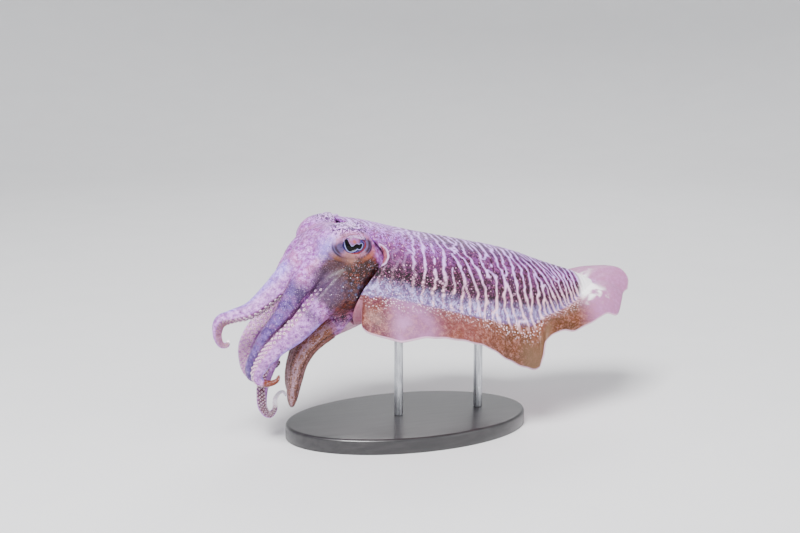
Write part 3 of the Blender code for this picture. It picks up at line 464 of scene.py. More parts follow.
def collarEdge(angle):
    fromBack = np.abs((np.degrees(angle) - 90 + 180) % 360 - 180)
    return smoothCurve(mantle["collarEdge"], fromBack)


def mantlePoints(place, angle, inset=0.0, beyond=0.0):
    # beyond goes from 0 at the mantle's end to 1 where the two fins meet behind it
    up, out = np.sin(angle), -np.cos(angle)
    out = np.sign(out) * np.abs(out) ** mantle["fullness"]
    half = smoothCurve(mantle["halfWidth"], place) * np.cos(beyond * math.pi / 2)
    tall = np.where(up > 0, smoothCurve(mantle["dome"], place), smoothCurve(mantle["belly"], place))
    tall = tall + (fins["rootThickness"] / 2 - tall) * ease(beyond, 0, 1)
    x = mantle["front"] + place * mantle["length"] + 1.6 * np.sin(beyond * math.pi / 2)
    z = smoothCurve(mantle["finLine"], place) + up * (tall - inset)
    return np.stack(np.broadcast_arrays(x, out * (half - inset * np.cos(beyond * math.pi / 2)), z), axis=-1)


def finLayers(places, beyond, side, edgePoints, shares):
    # the middle of the fin between root and edge, and which way its upper face looks
    root = mantlePoints(np.minimum(places, 1), np.zeros_like(places), 0, beyond)
    root[:, 1] = side * np.abs(root[:, 1])
    edge = smoothCurve(edgePoints, places)
    edge[:, 1] *= side
    ripple = fins["ripple"] * np.sin(places * 95 + side) * ease(places, 0.03, 0.12) * ease(places, 1, 0.95)
    edge[:, 2] += ripple
    across = edge - root
    width = np.linalg.norm(across, axis=1)
    rise = np.zeros_like(across)
    rise[:, 1] = side * 0.6 * ease(np.abs(across[:, 1]), 2, 6)
    rise[:, 2] = 0.8
    rise -= across * (np.sum(rise * across, axis=1) / np.maximum(width, 1e-6) ** 2)[:, None]
    crown = 4 * fins["bulge"] * width[:, None] * shares * (1 - shares)
    middle = root[:, None] + across[:, None] * shares[:, None] + rise[:, None] * crown[..., None]
    facing = unit(np.cross(np.gradient(middle, axis=0), np.gradient(middle, axis=1)) * side)
    facing[:, 0] = (0, 0, 1)
    upright = unit(np.stack([-across[-1, 2], 0.0, across[-1, 0]]))
    facing[-1] = upright
    return middle, facing


def lineDirections(x, across):
    # the way across the lines, as an angle, and their spacing, at places on the flat sheet
    place = (x - mantle["front"]) / mantle["length"]
    lean = smoothCurve(stripes["lean"], place) * np.tanh(across / 8)
    turn = np.arctan2(-lean, 1.0)
    share = ease(np.hypot(x - stripes["loopCentre"], across), *stripes["loopReach"])
    ring = np.arctan2(across, x - stripes["loopCentre"])
    double = np.exp(2j * turn) * share + np.exp(2j * ring) * (1 - share)
    amount, size = stripes["sway"]
    turn = np.angle(double) / 2 + amount * softNoise(np.stack([x, across], axis=-1), size, stripes["seed"])
    low, _, high = stripes["spacings"]
    wide = ease(np.abs(across), 9, 26) * ease(place, 0.9, 0.55)
    return turn, low + (high - low) * wide


def growLines():
    # lines grown from noise, each round keeping only the waves that run in the wanted direction
    first = mantle["front"] - 8
    across = np.arange(-stripes["halfWidth"], stripes["halfWidth"], stripes["cell"])
    x = np.arange(first, mantle["front"] + mantle["length"] + 8, stripes["cell"])
    grid = np.meshgrid(x, across)
    turn, spacing = lineDirections(*grid)
    fx = np.fft.rfftfreq(len(x), stripes["cell"])[None]
    fy = np.fft.fftfreq(len(across), stripes["cell"])[:, None]
    spacings = stripes["spacings"]
    filters = []
    for k in range(stripes["directions"]):
        angle = math.pi * k / stripes["directions"]
        apart = np.abs((turn - angle + math.pi / 2) % math.pi - math.pi / 2)
        onTurn = np.clip(1 - apart * stripes["directions"] / math.pi, 0, 1)
        for j, size in enumerate(spacings):
            onSize = np.interp(spacing, spacings, np.eye(len(spacings))[j])
            along = fx * math.cos(angle) + fy * math.sin(angle)
            beside = -fx * math.sin(angle) + fy * math.cos(angle)
            kept = sum(np.exp(-((along - way / size) * size / stripes["narrow"])**2
                              - (beside * size / stripes["straight"])**2) for way in (-1, 1))
            filters.append((onTurn * onSize, kept))

    def blur(values, size):
        kept = np.exp(-2 * (math.pi * size)**2 * (fx**2 + fy**2))
        return np.fft.irfft2(np.fft.rfft2(values) * kept, s=values.shape)

    sheet = np.random.default_rng(stripes["seed"]).standard_normal(grid[0].shape)
    for _ in range(stripes["rounds"]):
        waves = np.fft.rfft2(np.tanh(1.3 * sheet / np.sqrt(np.mean(sheet**2))))
        sheet = sum(weight * np.fft.irfft2(waves * kept, s=sheet.shape) for weight, kept in filters)
    sheet /= np.sqrt(2 * np.maximum(blur(sheet**2, stripes["even"]), 1e-9))
    # a line along each crest, and one wherever two dark bars meet, so that the lines fork and join
    apart = np.arccos(np.clip(sheet, -1, 1)) * spacing / (2 * math.pi)
    size, low, high = stripes["joint"]
    joints = blur(barEdges(sheet), size)
    return first, np.maximum(ease(apart, *stripes["crest"]), ease(joints, low, high))


def barEdges(sheet):
    # each dark bar gets its own number and grows until it meets the next one
    def most(values):
        moved = [np.roll(values, way, axis) for axis in (0, 1) for way in (-1, 1)]
        return np.maximum.reduce([values] + moved)

    dark = sheet < stripes["bars"]
    bars = np.where(dark, np.arange(1, sheet.size + 1).reshape(sheet.shape), 0)
    grown = np.where(dark, most(bars), 0)
    while not np.array_equal(grown, bars):
        bars, grown = grown, np.where(dark, most(grown), 0)
    for level in np.arange(stripes["bars"], 1.6, 0.02):
        bars = np.where((bars == 0) & (sheet < level), most(bars), bars)
    return ((bars != np.roll(bars, 1, 0)) | (bars != np.roll(bars, 1, 1))) * 1.0


def readSheet(sheet, first, x, across):
    # the value of the flat sheet at places on the skin
    column = np.clip((x - first) / stripes["cell"], 0, sheet.shape[1] - 1.01)
    row = np.clip((across + stripes["halfWidth"]) / stripes["cell"], 0, sheet.shape[0] - 1.01)
    i, j = row.astype(int), column.astype(int)
    u, v = row - i, column - j
    return ((1 - u) * ((1 - v) * sheet[i, j] + v * sheet[i, j + 1])
            + u * ((1 - v) * sheet[i + 1, j] + v * sheet[i + 1, j + 1]))


class BodyRing:
    # the points round the body: left fin's top, dome, right fin's top and underside, belly, left underside
    def __init__(self, dome, belly, fin):
        shares = np.linspace(0, fins["lastShare"], fin + 1)[1:]
        over, under = np.linspace(0, 1, dome + 1), np.linspace(0, 1, belly + 1)
        self.side = np.concatenate([-np.ones(fin), np.zeros(dome + 1), np.ones(2 * fin + 1),
                                    np.zeros(belly + 1), -np.ones(fin + 1)])
        self.share = np.concatenate([shares[::-1], np.zeros(dome + 1), shares, [1],
                                     shares[::-1], np.zeros(belly + 1), shares, [1]])
        self.face = np.concatenate([np.ones(2 * fin + dome + 1), [0], -np.ones(2 * fin + belly + 1), [0]])
        self.turn = np.concatenate([np.zeros(fin), over, np.ones(2 * fin + 1), under, np.zeros(fin + 1)])
        fromMiddle = np.abs(self.turn - 0.5) * 2
        onBody = np.where(self.face > 0, fromMiddle, 2 - fromMiddle)
        self.girth = np.where(self.side != 0, np.where(self.face >= 0, 1.0, 1.2), onBody)
        self.count = len(self.side)
        self.top = 2 * fin + dome + 1
        self.back = fin + dome // 2
        self.roots = [fin, fin + dome, 3 * fin + dome + 2, 3 * fin + dome + 2 + belly]

    def angles(self, places):
        half = fins["rootThickness"] / 2
        high = np.arcsin(np.minimum(0.9, half / smoothCurve(mantle["dome"], places)))[:, None]
        low = np.arcsin(np.minimum(0.9, half / smoothCurve(mantle["belly"], places)))[:, None]
        top = high + (math.pi - 2 * high) * self.turn
        bottom = math.pi + low + (math.pi - 2 * low) * self.turn
        onBody = np.where(self.face > 0, top, bottom)
        fade = np.where(self.face > 0, high, -low) * (1 - self.share)
        onFin = np.where(self.side > 0, math.pi - fade, fade)
        return np.where(self.side != 0, onFin, onBody)


def collarRings(angles):
    # the inner wall of the collar, from deep inside forwards, then the round lip of its edge
    m = mantle
    edge = collarEdge(angles)
    rings = []
    for k in range(m["innerRows"]):
        back = 1 - k / m["innerRows"]
        place = edge + (m["collarDepth"] - edge) * back
        wall = m["collarLip"] + (m["collarWall"] - m["collarLip"]) * back
        rings.append(mantlePoints(place, angles, wall))
    for k in range(m["lipRows"]):
        lip = math.pi * k / m["lipRows"]
        ring = mantlePoints(edge, angles, m["collarLip"] * (1 + math.cos(lip)) / 2)
        ring[:, 0] -= m["lipReach"] * math.sin(lip)
        rings.append(ring)
    return np.array(rings), np.tile(edge, (len(rings), 1))


def drawFins(skin, ring, places, beyond, weight):
    # moves the fins' share of each ring out to the fins, with a soft fillet where they leave the mantle
    taper = (1 - ring.share) ** 1.5
    thick = (fins["rootThickness"] * taper + fins["edgeThickness"] * (1 - taper)) / 2
    for sign, key in ((-1, "left"), (1, "right")):
        chosen = np.flatnonzero(ring.side == sign)
        levels = np.unique(ring.share[chosen])
        middle, facing = finLayers(places, beyond, sign, fins[key], np.concatenate([[0.0], levels]))
        level = 1 + np.searchsorted(levels, ring.share[chosen])
        lifted = middle[:, level] + facing[:, level] * (ring.face[chosen] * thick[chosen])[:, None]
        skin[:, chosen] = skin[:, chosen] * (1 - weight) + lifted * weight
    half = ring.count // 2
    steps = np.min([np.abs((np.arange(ring.count) - root + half) % ring.count - half)
                    for root in ring.roots], axis=0)
    near = np.exp(-(steps / fins["filletReach"]) ** 2)[:, None] * weight * 0.5
    near[-1] = 0
    for _ in range(fins["filletSteps"]):
        skin += near * ((np.roll(skin, 1, axis=1) + np.roll(skin, -1, axis=1)) / 2 - skin)
    skin[-1, :, 1] = 0


def bodyLines(skin, ring, places):
    # the pale lines, read from the sheet at the arc from the middle of the back down each side
    runs = np.linalg.norm(np.diff(skin[:, :ring.top], axis=1), axis=2)
    arc = np.concatenate([np.zeros((len(skin), 1)), np.cumsum(runs, axis=1)], axis=1)
    arc -= arc[:, ring.back][:, None]
    first, sheet = growLines()
    x = skin[:, :ring.top, 0]
    flat = np.stack([x, arc], axis=-1)
    shaken = [softNoise(flat, 4, seed) + 0.4 * softNoise(flat, 1.7, seed)
              for seed in (stripes["seed"] + 1, stripes["seed"] + 2)]
    lines = np.zeros(skin.shape[:2])
    alongIt, acrossIt = (reach * shake for reach, shake in zip(stripes["shaken"], shaken))
    lines[:, :ring.top] = readSheet(sheet, first, x + alongIt, arc + acrossIt)
    # they fade beside the front lobe, near the fins' front and at the tail
    lines[:, :ring.top] *= 1 - 0.85 * ease(x, -4, -14) * ease(np.abs(arc), 13, 20)
    onFin = ease(ring.share, 0.3, 0.02) * ease(places, 0.4, 0.6)[:, None]
    lines *= np.where(ring.side != 0, onFin, 1)
    return lines * ease(places, 0.99, 0.95)[:, None]


def foldBody(skin, ring, places, lines):
    # shallow folds of the skin, with the lines a little raised
    normal = unit(np.cross(np.gradient(skin, axis=1), np.gradient(skin, axis=0)))
    (broad, high), (narrow, low) = mantle["folds"]
    folds = softNoise(skin * (1, 0.6, 0.6), broad, 4) * high
    folds = folds + softNoise(skin * (1.4, 0.7, 0.7), narrow, 9) * low
    amount = mantle["wrinkles"] * np.where(ring.side != 0, ease(ring.share, 0.9, 0.3) * 0.5, 1)[None]
    amount = amount * ease(places, 1, 0.97)[:, None]
    outward = np.sign(normal[len(skin) // 3, ring.back, 2])
    skin += normal * outward * (amount * (folds + stripes["raised"] * lines))[..., None]
    skin[-1, :, 1] = 0


def makeBodySkin():
    m = mantle
    ring = BodyRing(m["domeColumns"], m["bellyColumns"], m["finColumns"])
    start = collarEdge(np.array([0.0]))[0]
    along = np.linspace(0, 1, m["rows"] + 1)
    rootPlace = start + (1 - start) * along
    beyond = np.linspace(0, 1, m["tailRows"] + 1)[1:]
    angles = ring.angles(rootPlace)
    collar, collarPlaces = collarRings(angles[0])
    edges = collarEdge(angles)
    outer = mantlePoints(edges + (1 - edges) * along[:, None], angles)
    tailAngles = ring.angles(np.ones(len(beyond)))
    tail = mantlePoints(np.ones_like(tailAngles), tailAngles, 0, beyond[:, None])
    skin = np.concatenate([outer, tail])
    places = np.concatenate([rootPlace, 1 + fins["tail"] * beyond])
    weight = ease(places, *fins["start"])[:, None, None]
    drawFins(skin, ring, places, np.concatenate([np.zeros(len(rootPlace)), beyond]), weight)
    lines = bodyLines(skin, ring, places)
    foldBody(skin, ring, places, lines)

    grid = np.concatenate([collar, skin])
    rows = len(grid)
    fields = {
        "place": np.concatenate([collarPlaces.ravel(), np.repeat(places, ring.count)]),
        "girth": np.tile(ring.girth, rows), "fin": np.tile(ring.share, rows),
        "under": np.tile((ring.face < 0) * 1.0, rows),
        "lines": np.concatenate([np.zeros(collarPlaces.size), lines.ravel()]),
        "inside": np.repeat(np.arange(rows) < m["innerRows"], ring.count) * 1.0,
    }
    points = np.vstack([grid.reshape(-1, 3), grid[0].mean(axis=0)])
    fields = {key: np.append(values, 0) for key, values in fields.items()}
    mesh = makeMesh("bodySkin", points, ringFaces(rows, ring.count, rows * ring.count), fields)
    gaps = closeUp(mesh)
    print("body skin:", len(mesh.polygons), "faces,", gaps, "edges not shared by two faces")
    replaced = ("mantle", "fin_left", "fin_right")
    return addPiece("bodySkin", mesh, mantleFinish(), replaced=replaced)


bodySkin = makeBodySkin()


# The head and the eight arms, one skin

head = {
    "masses": [((-36, 0, 112), (22, 32, 29)), ((-56, 0, 118), (22, 25, 26)), ((-60, 0, 107), (18, 24, 23)),
               ((-48, 0, 97), (19, 23, 19))],
    "sideMasses": [((-50.5, 20.5, 132.8), (20.3, 14.2, 14.8)), ((-56, 17, 107), (18, 17, 21)),
                   ((-41, 21, 112), (17, 16, 22))],
    "voxel": 2.2, "smoothing": 10, "skinVoxel": 0.76, "webSmoothing": 14, "wrinkles": 0.35, "rear": -21,
    "creases": 0.32, "eyeReach": 24, "nubsAbove": 138,
    # the neck's gap to the collar's wall, how much wider it may get outside, and from where to where
    "neckGap": 0.5, "neckFlare": 0.55, "neckTuck": (-0.012, 0.075),
    # where an arm grows out of the head, in its own radii, and how far off its middle the skin follows it
    "rootBlend": (0.15, 0.9), "follows": (1.5, 1.25),
    # side, place, height and root radius of the nubs over the eyes
    "nubs": [(-1, (-41, 22), 3.6, 1.5), (-1, (-47, 21), 1.3, 1.4), (1, (-48, 22), 4.0, 1.6),
             (1, (-41, 22), 1.3, 1.4)],
}
eye = {
    "centre": (-46, 22.5, 133), "radius": 10.7, "looks": (-0.22, 0.96, 0.14), "opening": (9.6, 6.4),
    "lid": 0.95, "upperLid": 2.0, "lobe": 0.6, "pupilSize": 0.93, "sunk": 0.86, "rise": 0.9,
    "sides": 144, "frontRings": 110, "backRings": 26, "pupilDepth": 0.45, "lidSides": 20, "lidLumps": 0.16,
    # across and up as shares of the radius, and half the width in mm, by share of the pupil's length
    "pupil": [(0, 0.385, 0.25, 1), (0.14, 0.3, -0.02, 1.4), (0.3, 0.155, -0.24, 1.5),
              (0.45, -0.1, -0.2, 1.3), (0.6, -0.25, -0.06, 1.1), (0.8, -0.425, -0.14, 1.2),
              (1, -0.54, -0.01, 0.7)],
}
arms = {
    # the suckers face the crown's middle, flat is how far the sole lies off the arm's middle, in radii
    "crown": (-72, 0, 109), "flat": 0.72, "keel": 1.12, "keeled": ("left4", "right4"),
    # how far the sucker side turns round an arm, in degrees by share of its length
    "twists": {
        "left1": [(0, 0), (0.3, 35), (0.5, 64), (0.72, 66), (0.85, 105), (1, 115)],
        "left3": [(0, -60), (0.3, -70), (1, -76)],
        "left4": [(0, 80), (1, 90)],
        "right1": [(0, 50), (0.3, 80), (1, 84)],
        "right3": [(0, 40), (0.4, 34), (0.66, 28), (0.8, -28), (1, -32)],
        "right4": [(0, -80), (1, -90)],
    },
    # the air between two arms opens between these distances from the root
    "step": 0.5, "sides": 44, "airGap": 0.5, "gapOpens": (12, 34),
    # height, angle and width of the two edges beside the suckers, and how sharply the sole turns flat
    "ridge": (0.07, 0.95, 0.16), "turnsFlat": 16,
    # from where to where painted shade darkens the skin between two arms, as squared distance in mm
    "creviceShade": (26, 2),
    # where the tips change colour: 1 is white, and -1 is brown, painted shade on a tip curled into shadow
    "tips": [("left1", 0.96, 1), ("right3", 0.86, 1), ("left3", 0.84, -1)],
    # X, distance from the middle, Z and radius along the middle of each arm, from root to tip
    "left1": [(-58, 9, 132, 9.4), (-70, 9.5, 127, 9), (-75, 9.5, 123.5, 8.7), (-83, 10, 115.5, 7.9),
              (-95, 10.5, 103, 7.3), (-108.5, 11.5, 93, 5.8), (-121.5, 12.5, 90, 4.4),
              (-129.5, 13, 87.5, 3.9), (-131.6, 13, 79.7, 2.8), (-129.5, 13, 73, 2.1),
              (-125.5, 13, 72, 1.6), (-124.5, 13, 75.5, 1.1)],
    "left2": [(-56, 20, 126, 10), (-66, 21, 121, 9.6), (-74, 21.5, 114, 8.6), (-82.5, 21.5, 103, 7.1),
              (-91, 21, 90.5, 5.8), (-100.5, 19, 78, 4.7), (-107, 16, 66.5, 3.9), (-110.8, 12, 57, 3),
              (-110, 8, 49, 2.1), (-105.5, 5, 44.5, 1.3)],
    "left3": [(-48, 21.5, 113, 12.5), (-60, 24, 104, 12.5), (-73.5, 26, 93, 10.4), (-85, 27, 81.5, 8.4),
              (-96, 26, 72.5, 6.6), (-104, 24, 63, 5.2), (-108.7, 22, 54.7, 4.2), (-108, 22, 49.4, 3.3),
              (-102, 23, 47, 2.3), (-96.5, 24, 48.8, 1.6), (-95, 24, 52.6, 1.1)],
    "left4": [(-37, 12.5, 93, 9), (-50, 13.5, 84, 9), (-62.5, 14, 77, 8.4), (-73, 15, 69, 7.6),
              (-79.5, 15, 58.5, 6.4), (-82, 14, 46.5, 5.2), (-83.4, 13, 35.5, 3.7), (-84, 12, 26.5, 1.3)],
    "right1": [(-58, 9, 132, 9.4), (-70, 9.5, 125, 8.8), (-78, 10.5, 112, 7.4), (-85, 12.5, 96, 6.2),
               (-92, 13.5, 83, 5.6), (-101, 13, 75, 5.3), (-107.6, 11, 65, 4.8), (-109.2, 8, 55.6, 4),
               (-107.9, 6, 48, 2.9), (-102.7, 6, 43.4, 1.6)],
    "right2": [(-56, 20, 126, 10), (-66, 22, 120, 9.4), (-73.5, 23.5, 112, 8.2), (-80, 24, 100, 6.8),
               (-86.5, 24.5, 86, 5.8), (-91.5, 23.5, 73, 4.8), (-93.5, 22, 61, 3.9), (-92, 21, 51, 2.9),
               (-87, 20, 46.5, 2), (-82.5, 20, 49.5, 1.3)],
    "right3": [(-48, 21.5, 113, 12.5), (-58, 24.5, 103, 12), (-67.5, 25, 89, 9.4), (-76.5, 20, 74.5, 6.6),
               (-85.4, 14, 62, 4.8), (-92, 10, 50, 4.1), (-97.4, 6, 40, 3.8), (-99.6, 3.5, 32, 3.5),
               (-99.5, 2.5, 24, 3), (-95.6, 2, 18.9, 2.3), (-91.6, 2, 22, 1.7), (-91.2, 2, 28.5, 1.5),
               (-88.7, 2, 32.6, 1.3), (-85.6, 2, 33.2, 1.2), (-83.6, 2, 30, 1)],
    "right4": [(-37, 12.5, 93, 9), (-48.5, 13.5, 82.5, 9), (-58, 14.5, 74, 8), (-67, 15, 63.5, 7),
               (-73.3, 15, 51.5, 5.6), (-77, 14.5, 40.5, 4), (-79, 14, 30, 1.3)],
}


class Arm:
    # the middle line of an arm, and which way its suckers face, carried along it and then twisted
    def __init__(self, name):
        self.name = name
        self.side = -1 if name.startswith("left") else 1
        control = [(k, x, self.side * y, z, r) for k, (x, y, z, r) in enumerate(arms[name])]
        fine = smoothCurve(control, np.linspace(0, len(control) - 1, 24 * len(control)))
        runs = np.concatenate([[0], np.cumsum(np.linalg.norm(np.diff(fine[:, :3], axis=0), axis=1))])
        self.length = runs[-1]
        self.along = np.arange(0, self.length, arms["step"])
        self.middle = np.stack([np.interp(self.along, runs, fine[:, k]) for k in range(3)], axis=1)
        self.radius = np.interp(self.along, runs, fine[:, 3])
        self.tangent = unit(np.gradient(self.middle, axis=0))
        facing = Vector(np.array(arms["crown"]) - self.middle[0])
        start = Vector(self.tangent[0])
        facing = np.array((facing - start * facing.dot(start)).normalized())
        twists = arms["twists"].get(name, [(0, 0), (1, 0)])
        turns = np.radians(smoothCurve(twists, self.along / self.length))
        self.face = np.empty_like(self.middle)
        for k, (tangent, turn) in enumerate(zip(self.tangent, turns)):
            facing = facing - tangent * (facing @ tangent)
            facing = facing / np.linalg.norm(facing)
            self.face[k] = facing * math.cos(turn) + np.cross(tangent, facing) * math.sin(turn)
        self.across = np.cross(self.tangent, self.face)
        tip = self.radius[-1]
        beyond = np.clip(self.along - self.length + tip, 0, None) / tip
        self.taper = np.sqrt(np.clip(1 - beyond ** 2, 0.05, 1))

    def meet(self, others):
        # the planes where this arm presses on the others
        self.planes = []
        for other in others:
            away = other.middle[None] - self.middle[:, None]
            nearest = np.argmin(np.einsum("ijk,ijk->ij", away, away), axis=1)
            gap = other.middle[nearest] - self.middle
            distance = np.linalg.norm(gap, axis=1)
            both = self.radius + other.radius[nearest]
            air = arms["airGap"] * ease(self.along, *arms["gapOpens"])
            limit = distance * self.radius / both - air
            self.planes.append((unit(gap), np.where(distance < both * 1.5, limit, 1e3)))

    def skin(self, index, angle):
        # points of the arm's skin at stations and angles, 0 being the middle of the sucker side
        sharp = arms["turnsFlat"]
        towards = -np.log(np.exp(-sharp * np.cos(angle)) + math.exp(-sharp * arms["flat"])) / sharp
        if self.name in arms["keeled"]:
            keel = 1 + (arms["keel"] - 1) * ease(-towards, 0.6, 1)
            towards = np.where(towards < 0, towards * keel, towards)
        height, turned, width = arms["ridge"]
        ridge = 1 + height * np.exp(-((np.abs(angle) - turned) / width) ** 2)
        radius = self.radius[index] * self.taper[index] * ridge
        offset = (self.face[index] * (towards * radius)[..., None]
                  + self.across[index] * (np.sin(angle) * radius)[..., None])
        for normal, limit in self.planes:
            over = np.sum(offset * normal[index], axis=-1) - limit[index]
            offset = offset - normal[index] * np.maximum(over, 0)[..., None]
        return self.middle[index] + offset


armNames = [side + str(k) for side in ("left", "right") for k in (1, 2, 3, 4)]
armLines = [Arm(name) for name in armNames]
for line in armLines:
    line.meet([other for other in armLines if other is not line])


def mirrored(point, side):
    return np.array((point[0], side * point[1], point[2]), float)


def addEllipsoid(bm, centre, radii):
    matrix = Matrix.LocRotScale(Vector(centre), None, Vector(radii))
    bmesh.ops.create_uvsphere(bm, u_segments=36, v_segments=18, radius=1, matrix=matrix)


def armTube(arm):
    # one arm as a closed tube, a point of its tip a little beyond the last ring
    index = np.arange(0, len(arm.along), 2)
    angles = np.linspace(-math.pi, math.pi, arms["sides"] + 1)[:-1]
    rings = arm.skin(index[:, None], np.broadcast_to(angles, (len(index), len(angles))))
    return closedRings(rings, arm.middle[0], arm.middle[-1] + arm.tangent[-1] * 0.3)


def eyeFrame(side):
    # the eye's middle, then outwards, forwards along the opening and up
    out = Vector(mirrored(eye["looks"], side)).normalized()
    up = (Vector((0, 0, 1)) - out * out.z).normalized()
    return mirrored(eye["centre"], side), np.array(out), np.array(up.cross(out) * side), np.array(up)


def eyeSpan(points, side):
    # how far a point lies from the eye's axis, 1 being the edge of the opening
    centre, out, along, up = eyeFrame(side)
    away = points - centre
    across, high = eye["opening"]
    span = np.hypot(away @ along / across, away @ up / high)
    return np.where(away @ out > 0, span, 9), away


def edgeEnds(mesh):
    flat = np.empty(len(mesh.edges) * 2, np.int32)
    mesh.edges.foreach_get("vertices", flat)
    return flat.reshape(-1, 2)


def smoothed(points, edges, weight, rounds):
    a, b = edges[:, 0], edges[:, 1]
    count = np.bincount(edges.ravel(), minlength=len(points))
    for _ in range(rounds):
        total = np.stack([np.bincount(a, points[b, k], len(points))
                          + np.bincount(b, points[a, k], len(points)) for k in range(3)], axis=1)
        points = points + weight[:, None] * (total / np.maximum(count, 1)[:, None] - points)
    return points


def nearestArm(points):
    # for each point the arm and the station that it belongs to, and how much painted shade it gets where
    # the next arm lies close
    stations = np.concatenate([line.middle for line in armLines]).astype(np.float32)
    radii = np.concatenate([line.radius for line in armLines]).astype(np.float32)
    owner = np.concatenate([[k] * len(line.along) for k, line in enumerate(armLines)])
    index = np.concatenate([np.arange(len(line.along)) for line in armLines])
    offset = (stations**2).sum(axis=1) - radii**2
    starts = np.searchsorted(owner, np.arange(len(armLines)))
    best = np.empty(len(points), int)
    power = np.empty(len(points))
    atOnce = 8000
    for first in range(0, len(points), atOnce):
        block = points[first:first + atOnce].astype(np.float32)
        reach = offset - 2 * block @ stations.T
        best[first:first + atOnce] = np.argmin(reach, axis=1)
        perArm = np.partition(np.minimum.reduceat(reach, starts, axis=1), 1, axis=1)
        power[first:first + atOnce] = perArm[:, 1] + (block**2).sum(axis=1)
    return owner[best], index[best], ease(power, *arms["creviceShade"])


def tuckIntoCollar(points):
    # the neck is drawn in so that it passes under the mantle's free edge
    place = (points[:, 0] - mantle["front"]) / mantle["length"]
    wall = mantle["collarWall"] + head["neckGap"]
    high = points[:, 2] - smoothCurve(mantle["finLine"], place)
    tall = np.where(high > 0, smoothCurve(mantle["dome"], place), smoothCurve(mantle["belly"], place))
    tall = tall - wall
    half = smoothCurve(mantle["halfWidth"], place) - wall
    out = np.sign(points[:, 1]) * np.abs(points[:, 1] / half) ** (1 / mantle["fullness"])
    reach = np.hypot(out, high / tall)
    edge = collarEdge(np.arctan2(high / tall, -out))
    limit = 1 + head["neckFlare"] * ease(edge - place, *head["neckTuck"])
    limit = np.where(place > edge - head["neckTuck"][1], limit, 9)
    share = np.minimum(1, limit / np.maximum(reach, 1e-6))
    tucked = points.copy()
    tucked[:, 1] = np.sign(out) * np.abs(out * share) ** mantle["fullness"] * half
    tucked[:, 2] = points[:, 2] - high + high * share
    tucked[:, 0] = np.minimum(points[:, 0], head["rear"])
    return np.where((share < 1)[:, None] | (points[:, :1] > head["rear"]), tucked, points)


def turnOutwards(mesh):
    bm = bmesh.new()
    bm.from_mesh(mesh)
    if bm.calc_volume(signed=True) < 0:
        bmesh.ops.reverse_faces(bm, faces=bm.faces)
    bm.to_mesh(mesh)
    bm.free()


def oneSkin(obj, size):
    remesh = obj.modifiers.new("one skin", "REMESH")
    remesh.mode = "VOXEL"
    remesh.voxel_size = size


def makeHeadCore():
    # the head without its arms, in millimetres
    bm = bmesh.new()
    for centre, radii in head["masses"]:
        addEllipsoid(bm, centre, radii)
    for centre, radii in head["sideMasses"]:
        addEllipsoid(bm, mirrored(centre, -1), radii)
        addEllipsoid(bm, mirrored(centre, 1), radii)
    bmesh.ops.recalc_face_normals(bm, faces=bm.faces)
    mesh = bpy.data.meshes.new("headCore")
    bm.to_mesh(mesh)
    bm.free()
    core = looseObject("headCore", mesh)
    oneSkin(core, head["voxel"])
    soft = core.modifiers.new("soft", "SMOOTH")
    soft.iterations = head["smoothing"]
    soft.factor = 0.5
    finer = core.modifiers.new("finer", "SUBSURF")
    finer.levels = 1
    finer.render_levels = 1
    return asMesh(core)


def joinArms(core):
    # the core and the eight arms as one closed skin, in millimetres
    bm = bmesh.new()
    bm.from_mesh(core)
    for arm in armLines:
        points, faces = armTube(arm)
        tube = bpy.data.meshes.new("tube")
        tube.from_pydata(points.tolist(), [], faces)
        turnOutwards(tube)
        bm.from_mesh(tube)
    mesh = bpy.data.meshes.new("joined")
    bm.to_mesh(mesh)
    bm.free()
    joined = looseObject("joined", mesh)
    oneSkin(joined, head["skinVoxel"])
    return asMesh(joined)


def outOfCore(arm, tree, core):
    # how far each station of an arm stands out of the head's core, in radii of the arm
    found = []
    for place, radius in zip(arm.middle, arm.radius):
        near, which, distance = tree.find(Vector(place))
        outside = (Vector(place) - near).dot(core.vertices[which].normal) > 0
        found.append(distance / radius if outside else -distance / radius)
    return np.array(found)


def fitArms(points, core, owner, index):
    # puts the skin on the arms' own shape, and says how much of each point is arm
    tree = KDTree(len(core.vertices))
    for vertex in core.vertices:
        tree.insert(vertex.co, vertex.index)
    tree.balance()
    along, armShare, around = (np.zeros(len(points)) for _ in range(3))
    target = points.copy()
    for k, arm in enumerate(armLines):
        mine = np.flatnonzero(owner == k)
        station = index[mine]
        away = points[mine] - arm.middle[station]
        onto = np.sum(away * arm.tangent[station], axis=1)
        sideways = np.sum(away * arm.across[station], axis=1)
        angle = np.arctan2(sideways, np.sum(away * arm.face[station], axis=1))
        ratio = np.linalg.norm(away, axis=1) / arm.radius[station]
        grown = ease(outOfCore(arm, tree, core)[station], *head["rootBlend"])
        armShare[mine] = grown * ease(ratio, *head["follows"])
        along[mine] = arm.along[station] / arm.length
        around[mine] = np.cos(angle)
        exact = arm.skin(station, angle) + arm.tangent[station] * onto[:, None]
        inner = arm.along[station] < arm.length - 1.5
        target[mine] = np.where(inner[:, None], exact, points[mine])
    return points + armShare[:, None] * (target - points), along, armShare, around


def foldHead(points, normal, along, armShare, around):
    # folds of the skin, rings along the arms and creases round the eyes
    folds = 0.5 * softNoise(points, 5, 2) + 0.35 * softNoise(points, 2.1, 5)
    rings = 0.5 * softNoise(np.stack([along * 60, around], axis=1), 1.0, 8)
    span = np.full(len(points), 9.0)
    for side in (-1, 1):
        found, away = eyeSpan(points, side)
        near = np.linalg.norm(away, axis=1) < head["eyeReach"]
        span = np.where(near & (points[:, 1] * side > 0), found, span)
    calm = ease(span, 0.9, 1.6)
    wrinkles = (folds * (1 - armShare) * calm + rings * armShare * 0.5) * head["wrinkles"]
    points = points + normal * wrinkles[:, None]
    creases = np.sin((span - 1) * 11) * ease(span, 1.1, 1.3) * ease(span, 2.3, 1.7)
    return points + normal * (head["creases"] * creases)[:, None], span


